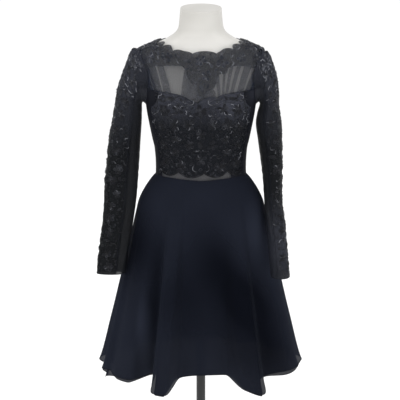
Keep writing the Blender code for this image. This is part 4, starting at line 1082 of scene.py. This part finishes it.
def torso_sheet(low, high, left, right, back=False):
    """The torso's surface at the lace's height as a Sheet, between two heights and two angles."""
    heights, angles = np.linspace(low, high, 150), np.linspace(left, right, 181)
    sheet = Sheet(*on_torso(*np.meshgrid(angles, heights), ON_CLOTH), 90, 90 if back else 148)
    sheet.rows, sheet.columns = heights, angles
    return sheet


def lace_ground(name, low, high, share, rows, finish, back=False):
    """The net that a lace is worked on."""
    angle, z = panel_grid(low, high, share, rows, back)
    return cloth(name + "_net", lifted(angle, z, ON_CLOTH), finish, "black_lace", name)


def cup_arcs():
    """Cords in loops along the top of each cup, in three rows that don't keep step."""
    runs = []
    for offset, height, loops, step, radius in ((-0.0012, 0.0075, 2.5, 0.2, 0.0008),
                                                (-0.0100, 0.0065, 3.7, 0.9, 0.0007),
                                                (-0.0190, 0.0080, 2.1, 1.9, 0.0006)):
        for side in (-1, 1):
            share = np.linspace(0.08 * step, 1, 160)
            wave = height * (1 - np.abs(np.sin(math.pi * loops * share + step + 0.5 * side)) ** 0.6)
            runs += edge_cords(lambda a: sweetheart(a) - wave, side * (4 + 47 * share), (radius, offset))
    return runs


def build_bodice_lace():
    """Lace over the front from the top of the cups down to the scallops over the inset."""
    ground = lace_ground("lace_bodice", scallop_foot, lace_top, np.linspace(-LACE_SHARE, LACE_SHARE, 150),
                         72, BUST_NET)
    sheet = torso_sheet(1.055, 1.30, -90, 90)
    inside = inside_of(sheet, lambda a: scallop_foot(a) + 0.002, lambda a: lace_top(a) - 0.004,
                       lambda s: -s * LACE_SHARE, lambda s: s * LACE_SHARE)
    lace = Lace(sheet, LACE_FLOAT, ON_CREPE)
    fill_with_lace(lace, inside, 7, mirrored=True)
    motifs = lace.build("lace_bodice")
    border = tubes("lace_bodice_border", cup_arcs()
                   + edge_cords(scallop_foot, np.linspace(-62, 62, 420), (0.0008, 0.0006), (0.0006, 0.0032))
                   + edge_cords(lace_top, np.linspace(-6, 16, 90), (0.0008, -0.0006)), CORD, sides=4)
    heights = np.linspace(1.082, 1.288, 220)
    out = armhole_edge(heights) * LACE_SHARE + 0.4 + 1.4 * np.abs(np.sin(math.pi * heights / 0.021)) ** 0.7
    sides = [(*on_torso(side * out, heights, ON_CLOTH + 0.0006), 0.0006, False) for side in (-1, 1)]
    edges = tubes("lace_bodice_side_edges", sides, THREAD, sides=5)
    return ground, [*motifs, border, edges]


def neck_beads(name, first, last):
    """Small beads along the neckline, every third one a smoke crystal, pale partly from painted highlight.
    """
    angles = np.linspace(first, last, int(abs(last - first) / 180 * 72))
    spots = lifted(angles, neck_edge(angles) - 0.0026, ON_CLOTH + 0.0016)
    bright = np.arange(len(angles)) % 3 == 1
    return [beads(name + "_neck_beads", spots[~bright], 0.0011, JET),
            beads(name + "_neck_bright_beads", spots[bright], 0.0011, CRYSTAL)]


def build_collar_lace():
    """The collar: lace round the shoulders, with a scalloped neckline and a central motif."""
    to_zip, halves = 176, ((1, 0.05), (-0.05, -1))
    made = {}
    for name, side, low, share, foot, left, right, span, seed in (
            ("front", 0, collar_low, np.linspace(-1, 1, 250), 1.27, lambda s: -s, lambda s: s,
             np.linspace(-89, 89, 900), 21),
            ("back_left", -1, back_collar, np.linspace(*halves[1], 100), 1.33, lambda s: -to_zip,
             lambda s: s - 180, -np.linspace(91, 175.7, 450), 10),
            ("back_right", 1, back_collar, np.linspace(*halves[0], 100), 1.33, lambda s: 180 - s,
             lambda s: to_zip, np.linspace(91, 175.7, 450), 32)):
        piece = "lace_collar_" + name
        ground = lace_ground(piece, low, neck_edge, share, 44, OPEN_NET, bool(side))
        first, last = sorted((side * 90, side * 180)) if side else (-90, 90)
        sheet = torso_sheet(foot, 1.432, first, last, bool(side))
        inside = inside_of(sheet, lambda a: low(a) + 0.001, lambda a: neck_edge(a) - 0.003, left, right)
        lace = Lace(sheet, LACE_FLOAT, ON_NET)
        fill_with_lace(lace, inside, seed)
        runs = edge_cords(neck_edge, span, (0.0009, -0.0006), (0.0006, -0.0046))
        runs += edge_cords(low, span if side else span[60:-60], (0.0007, 0.0008))
        made[name] = ground, [*lace.build(piece), tubes(piece + "_border", runs, OPEN_CORD, sides=4),
                              *neck_beads(piece, span[0], span[-1])]
    return made


def build_sleeve_lace(name, sheet):
    """Lace down the outside of a sleeve, its edges waved, from the armhole to the cuff."""
    piece = "lace_sleeve_" + name
    turn = np.linspace(-np.pi, np.pi, sheet.points.shape[1])
    reach = math.radians(SLEEVE_LACE_DEG)
    outside = np.abs(turn) <= reach + 0.02
    grid = sheet.points[1:, outside] + sheet.normals[1:, outside] * LACE_LIFT
    ground = cloth(piece + "_net", grid, LACE_NET, "black_lace", piece, flip=name == "left")

    def inside(across, along):
        where = np.interp(sheet.cell(across, along)[2][0], np.arange(len(turn)), turn)
        wave = 0.94 - 0.06 * np.cos(2 * np.pi * along / 0.045)
        return (np.abs(where) < reach * wave) & (along > 0.002) & (along < sheet.along[-1] - 0.004)

    lace = Lace(sheet, LACE_LIFT + LACE_FLOAT, ON_SLEEVE)
    fill_with_lace(lace, inside, 51 + len(name), size=0.0130)
    along = np.arange(0.010, sheet.along[-1] - 0.004, 0.003)
    row = sheet.cell(0 * along, along)[0]
    edges = []
    for side in (-1, 1):
        wave = reach * (0.98 - 0.05 * np.abs(np.cos(np.pi * along / 0.030)))
        column = np.interp(side * wave, turn, np.arange(len(turn)))
        low = column.astype(int)
        across = sheet.across[row, low]
        across = across + (column - low) * (sheet.across[row, low + 1] - across)
        edges.append((*sheet.place(across, along, LACE_LIFT + 0.0005), 0.0006, False))
    edges = tubes(piece + "_edges", edges, THREAD, sides=5)
    return ground, [*lace.build(piece), edges]


def build_shoulder_lace(name, sleeve):
    """Lace from the collar on over the armhole seam to the sleeve head, so that the seam doesn't show."""
    side, row, half = -1 if name == "left" else 1, 7, math.radians(112)
    turn = np.linspace(-np.pi, np.pi, sleeve.points.shape[1])
    outside = np.abs(turn) < half
    turn, outward = turn[outside], sleeve.normals[row, outside]
    reach = np.clip(1 - (np.abs(turn) / half) ** 4, 0, 1)

    def round_armhole(wider, taller, lift):
        return on_torso(side * (90 - (ARMHOLE_DEG + wider) * np.sin(turn)),
                        ARMHOLE_MID + (ARMHOLE_RISE + taller) * np.cos(turn), lift)

    inner, _ = round_armhole(7 * reach, 0.016 * reach, ON_CLOTH + 0.0006)
    outer = sleeve.points[row, outside] + outward * (LACE_LIFT + 0.0006)
    swell = unit(round_armhole(0, 0, 0)[1] + outward)
    share = np.linspace(0, 1, 14)[:, None, None]
    grid = inner * (1 - share) + outer * share + swell * 4 * share * (1 - share) * SHOULDER_SWELL[name]
    ground = cloth(f"lace_shoulder_{name}_net", grid, SHOULDER_NET, "black_lace", flip=side < 0)
    sheet = Sheet(grid, side * grid_normals(grid, False), grid.shape[1] // 2)

    def inside(across, along):
        return (along > 0.002) & (along < sheet.along[-1] - 0.002) & (np.abs(across) < 0.085)

    lace = Lace(sheet, LACE_FLOAT, ON_NET)
    fill_with_lace(lace, inside, 91 + len(name), size=0.0090, gap=0.0050)
    return ground, lace.build("lace_shoulder_" + name)


# ---------------------------------------------------------------- seams and stitches
def dashes(path, normals, spacing, length, radius):
    """Short stitches along a path on cloth."""
    along = lengths(path)
    runs = []
    for start in np.arange(spacing / 2, along[-1] - length, spacing):
        at = start + length * np.array([0, 0.5, 1])
        point, normal = (np.stack([np.interp(at, along, grid[:, k]) for k in range(3)], axis=1)
                         for grid in (path, unit(normals)))
        normal = unit(normal)
        runs.append((point + normal * (0.0003 * np.array([0.4, 1, 0.4]))[:, None], normal, radius, False))
    return runs


def build_seams():
    """Seams where the panels meet, each a low ridge, and the stitches that can be seen beside them."""
    ridges, runs = [], []

    def ridge(angle, z, radius, lift=ON_FORM):
        ridges.append((*on_torso(angle, z, lift), radius, False))

    def stitch(angle, z):
        runs.extend(dashes(*on_torso(angle, z, ON_FORM), 0.0034, 0.0022, 0.00025))

    round_angle, cups = np.linspace(-179.6, 179.6, 721), np.linspace(-90, 90, 361)[52:-52]
    inset, back, dart = np.linspace(*INSET_SIDES, 200), np.linspace(90.5, 179.2, 180), np.linspace(0, 1, 60)
    ridge(round_angle, waist_line(round_angle), 0.0010)
    stitch(round_angle, waist_line(round_angle) + 0.0030)
    ridge(cups, sweetheart(cups), 0.0009)
    ridge(inset, inset_top(inset), 0.0007)
    for side in (-1, 1):
        ridge(side * back, back_line(back), 0.0009)
        stitch(side * back, back_line(back) - 0.0030)
        ridge(side * 90.0, np.linspace(1.062, UNDERARM, 90), 0.0008)
        ridge(side * 90.0, np.linspace(SHOULDER_TIP, float(neck_edge(90.0)) - 0.002, 30), 0.0008, ON_CLOTH)
        ridge(side * (137 + 8 * dart), 1.066 + 0.150 * dart, 0.0006)
    for _, grid, normals, _ in skirt.values():
        runs += dashes(grid[-2] * 0.4 + grid[-1] * 0.6, normals[-1], 0.0052, 0.0026, 0.00028)
    for _, sheet, _ in sleeves.values():
        runs += dashes(sheet.points[-4], sheet.normals[-4], 0.0040, 0.0024, 0.00028)
    arms = [(sheet.points[2:, 0], sheet.normals[2:, 0], 0.0007, False) for _, sheet, _ in sleeves.values()]
    return (tubes("body_seams", ridges, THREAD, "navy_satin", flat=0.5),
            tubes("stitches", runs, THREAD, "navy_satin", sides=4),
            tubes("sleeve_seams", arms, THREAD, "black_tulle", flat=0.5))


# ---------------------------------------------------------------- the zip
def build_zip():
    """A closed coil zip down the centre back: two tapes and the coil's teeth. Its slider and pull stay."""
    heights = np.linspace(1.0600, 1.4125, 120)[:, None]
    tapes = []
    for side, name, node in ((-1, "left", "back_zip"), (1, "right", None)):
        angle = 180 - np.degrees(side * np.linspace(0.0004, 0.0033, 4) / ZIP_FROM_AXIS)
        grid = lifted(angle[None], heights, ON_FORM + 0.0007)
        tapes.append(cloth("zip_tape_" + name, grid, THREAD, "navy_satin", node, flip=side > 0))
    runs = []
    for number, z in enumerate(np.arange(1.0620, 1.4110, 0.0016)):
        side = 1 if number % 2 else -1
        angle = 180 - np.degrees(side * np.linspace(-0.0002, 0.0016, 4) / ZIP_FROM_AXIS)
        arch = np.array([0.0016, 0.0018, 0.0016, 0.0010])
        runs.append((*on_torso(angle, z, ON_FORM + arch), 0.0006, False))
    for node in ("zip_slider", "zip_pull"):
        cast = bpy.data.objects[node]
        for slot in cast.material_slots:
            slot.material = ENAMEL
        edge = cast.modifiers.new("soft edges", "BEVEL")
        edge.width, edge.segments, edge.limit_method = 0.0003, 2, "ANGLE"
    return tapes, tubes("zip_coil_teeth", runs, NYLON, "navy_satin")


# ---------------------------------------------------------------- studio
def build_studio():
    """A pale floor that curves up into a wall all round, soft light from panels, and the camera."""
    white, scene = (1, 1, 1, 1), bpy.context.scene
    paper, tree, shader, where = finish_of("white_studio_paper", "#e8e8e8", 0.9, Emission_Strength=0.36,
                                           Emission_Color=white)
    bump(tree, shader, add(tree, "TexNoise", {"Scale": 400.0}, {"Vector": where}), 0.0001)
    glow = finish_of("white_studio_wall", "#101010", 1.0, Emission_Strength=1.02, Emission_Color=white,
                     Specular_IOR_Level=0.0)[0]
    bend = [(6.0 + 1.5 * math.sin(a), 1.5 - 1.5 * math.cos(a)) for a in np.linspace(0, math.pi / 2, 12)]
    for name, profile, finish in (("studio_floor", [(0.001, 0.0), (3.0, 0.0), (6.0, 0.0)], paper),
                                  ("studio_wall", bend + [(7.5, 7.0)], glow)):
        grid = spun(profile, 96)
        new_object(name, grid, grid_faces(*grid.shape[:2], closed=True), finish)

    scene.world = bpy.data.worlds.new("studio_air")
    scene.world.use_nodes = True
    air = scene.world.node_tree.nodes["Background"].inputs
    air["Color"].default_value, air["Strength"].default_value = white, 0.80

    def hang(name, data, at, aim):
        made = bpy.data.objects.new(name, data)
        made.location = at
        made.rotation_euler = (Vector(aim) - made.location).to_track_quat("-Z", "Y").to_euler()
        scene.collection.objects.link(made)
        return made

    for name, at, size, watts in (("key_panel", (-2.2, -2.6, 2.5), 1.8, 17),
                                  ("fill_panel", (2.6, -2.4, 1.8), 1.8, 12),
                                  ("top_panel", (0.0, -0.3, 3.4), 1.6, 8)):
        lamp = bpy.data.lights.new(name, "AREA")
        lamp.shape, lamp.size, lamp.energy = "SQUARE", size, watts
        hang(name, lamp, at, (0, 0, 1.0))
    lens = bpy.data.cameras.new("camera")
    lens.lens, lens.sensor_width = 98.2, 36.0
    scene.camera = hang("camera", lens, (-0.0025, -2.934, 1.609), (-0.0025, 0, 0.985))
    scene.view_settings.view_transform = "Standard"


def declare_cloth():
    """The cut of each cloth that shows.

    A row has its flat width and length, its area, how it is held, what it lies on or hangs from, and the
    pieces that are sewn to it.
    """
    form, front, yoke = ["form_shell"], panels["bodice_front"], panels["yoke_front"]
    backs = [panels["bodice_back_left"], panels["bodice_back_right"]]
    cuts = [(front, 0.410, 0.240, 0.0800, "stretched", form, [seams]),
            (panels["waist_left"], 0.055, 0.016, 0.0006, "stretched", form, []),
            (panels["waist_right"], 0.085, 0.022, 0.0012, "stretched", form, []),
            (panels["waist_inset"], 0.200, 0.028, 0.0044, "stretched", form, []),
            (yoke, 0.430, 0.165, 0.0450, "stretched", form, [])]
    for side in ("left", "right"):
        cuts += [(panels["bodice_back_" + side], 0.200, 0.245, 0.0390, "stretched", form, []),
                 (panels["yoke_back_" + side], 0.215, 0.150, 0.0260, "stretched", form, [])]
    cuts += [(gather, *cut, "gathered", [yoke], []) for gather, (_, _, _, _, *cut) in zip(gathers, GATHERS)]
    cuts += [(skirt[key][0], width, length, area, "hung", [front, *backs], [skirt[key][3], *more])
             for key, width, length, area, more in (("top", 2.130, 0.560, 0.7700, [stitches]),
                                                    ("under", 2.080, 0.565, 0.7600, []))]
    for side, long, area, lace_width, lace_area, seam in (
            ("left", 0.630, 0.1330, 0.210, 0.0920, [sleeve_seams]),
            ("right", 0.620, 0.1240, 0.185, 0.0815, [])):
        (net, _, edges), back = sleeves[side], panels["yoke_back_" + side]
        (on_sleeve, down_arm), (on_shoulder, over_arm) = sleeve_lace[side], shoulder_lace[side]
        on_back, round_neck = collar_lace["back_" + side]
        cuts += [(net, 0.330, long, area, "hung", [yoke, back], edges + seam),
                 (on_sleeve, lace_width, long - 0.010, lace_area, "laid", [net], down_arm),
                 (on_shoulder, 0.240, 0.050, 0.0100, "laid", [net, yoke, back], over_arm),
                 (on_back, 0.215, 0.083, 0.0152, "laid", [back], round_neck)]
    (collar, round_neck), (on_bodice, trim) = collar_lace["front"], bodice_lace
    cuts += [(collar, 0.420, 0.150, 0.0274, "laid", [yoke], round_neck),
             (on_bodice, 0.290, 0.240, 0.0595, "laid", [front], trim)]
    # a tape is 12 mm wide, of which 3 mm shows
    cuts += [(tape, 0.012, 0.360, 0.0019, "laid", backs, teeth)
             for tape, teeth in zip(zip_tapes, ([zip_teeth], []))]
    for piece, width, length, area, held, rests_on, sewn in cuts:
        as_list(rests_on)
        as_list(sewn)


build_studio()
build_form()
build_stand()
panels = build_panels()
gathers = build_gathers()
skirt = build_skirt()
sleeves = build_sleeves()
bodice_lace = build_bodice_lace()
collar_lace = build_collar_lace()
sleeve_lace = {name: build_sleeve_lace(name, sleeves[name][1]) for name in sleeves}
shoulder_lace = {name: build_shoulder_lace(name, sleeves[name][1]) for name in sleeves}
seams, stitches, sleeve_seams = build_seams()
zip_tapes, zip_teeth = build_zip()
declare_cloth()
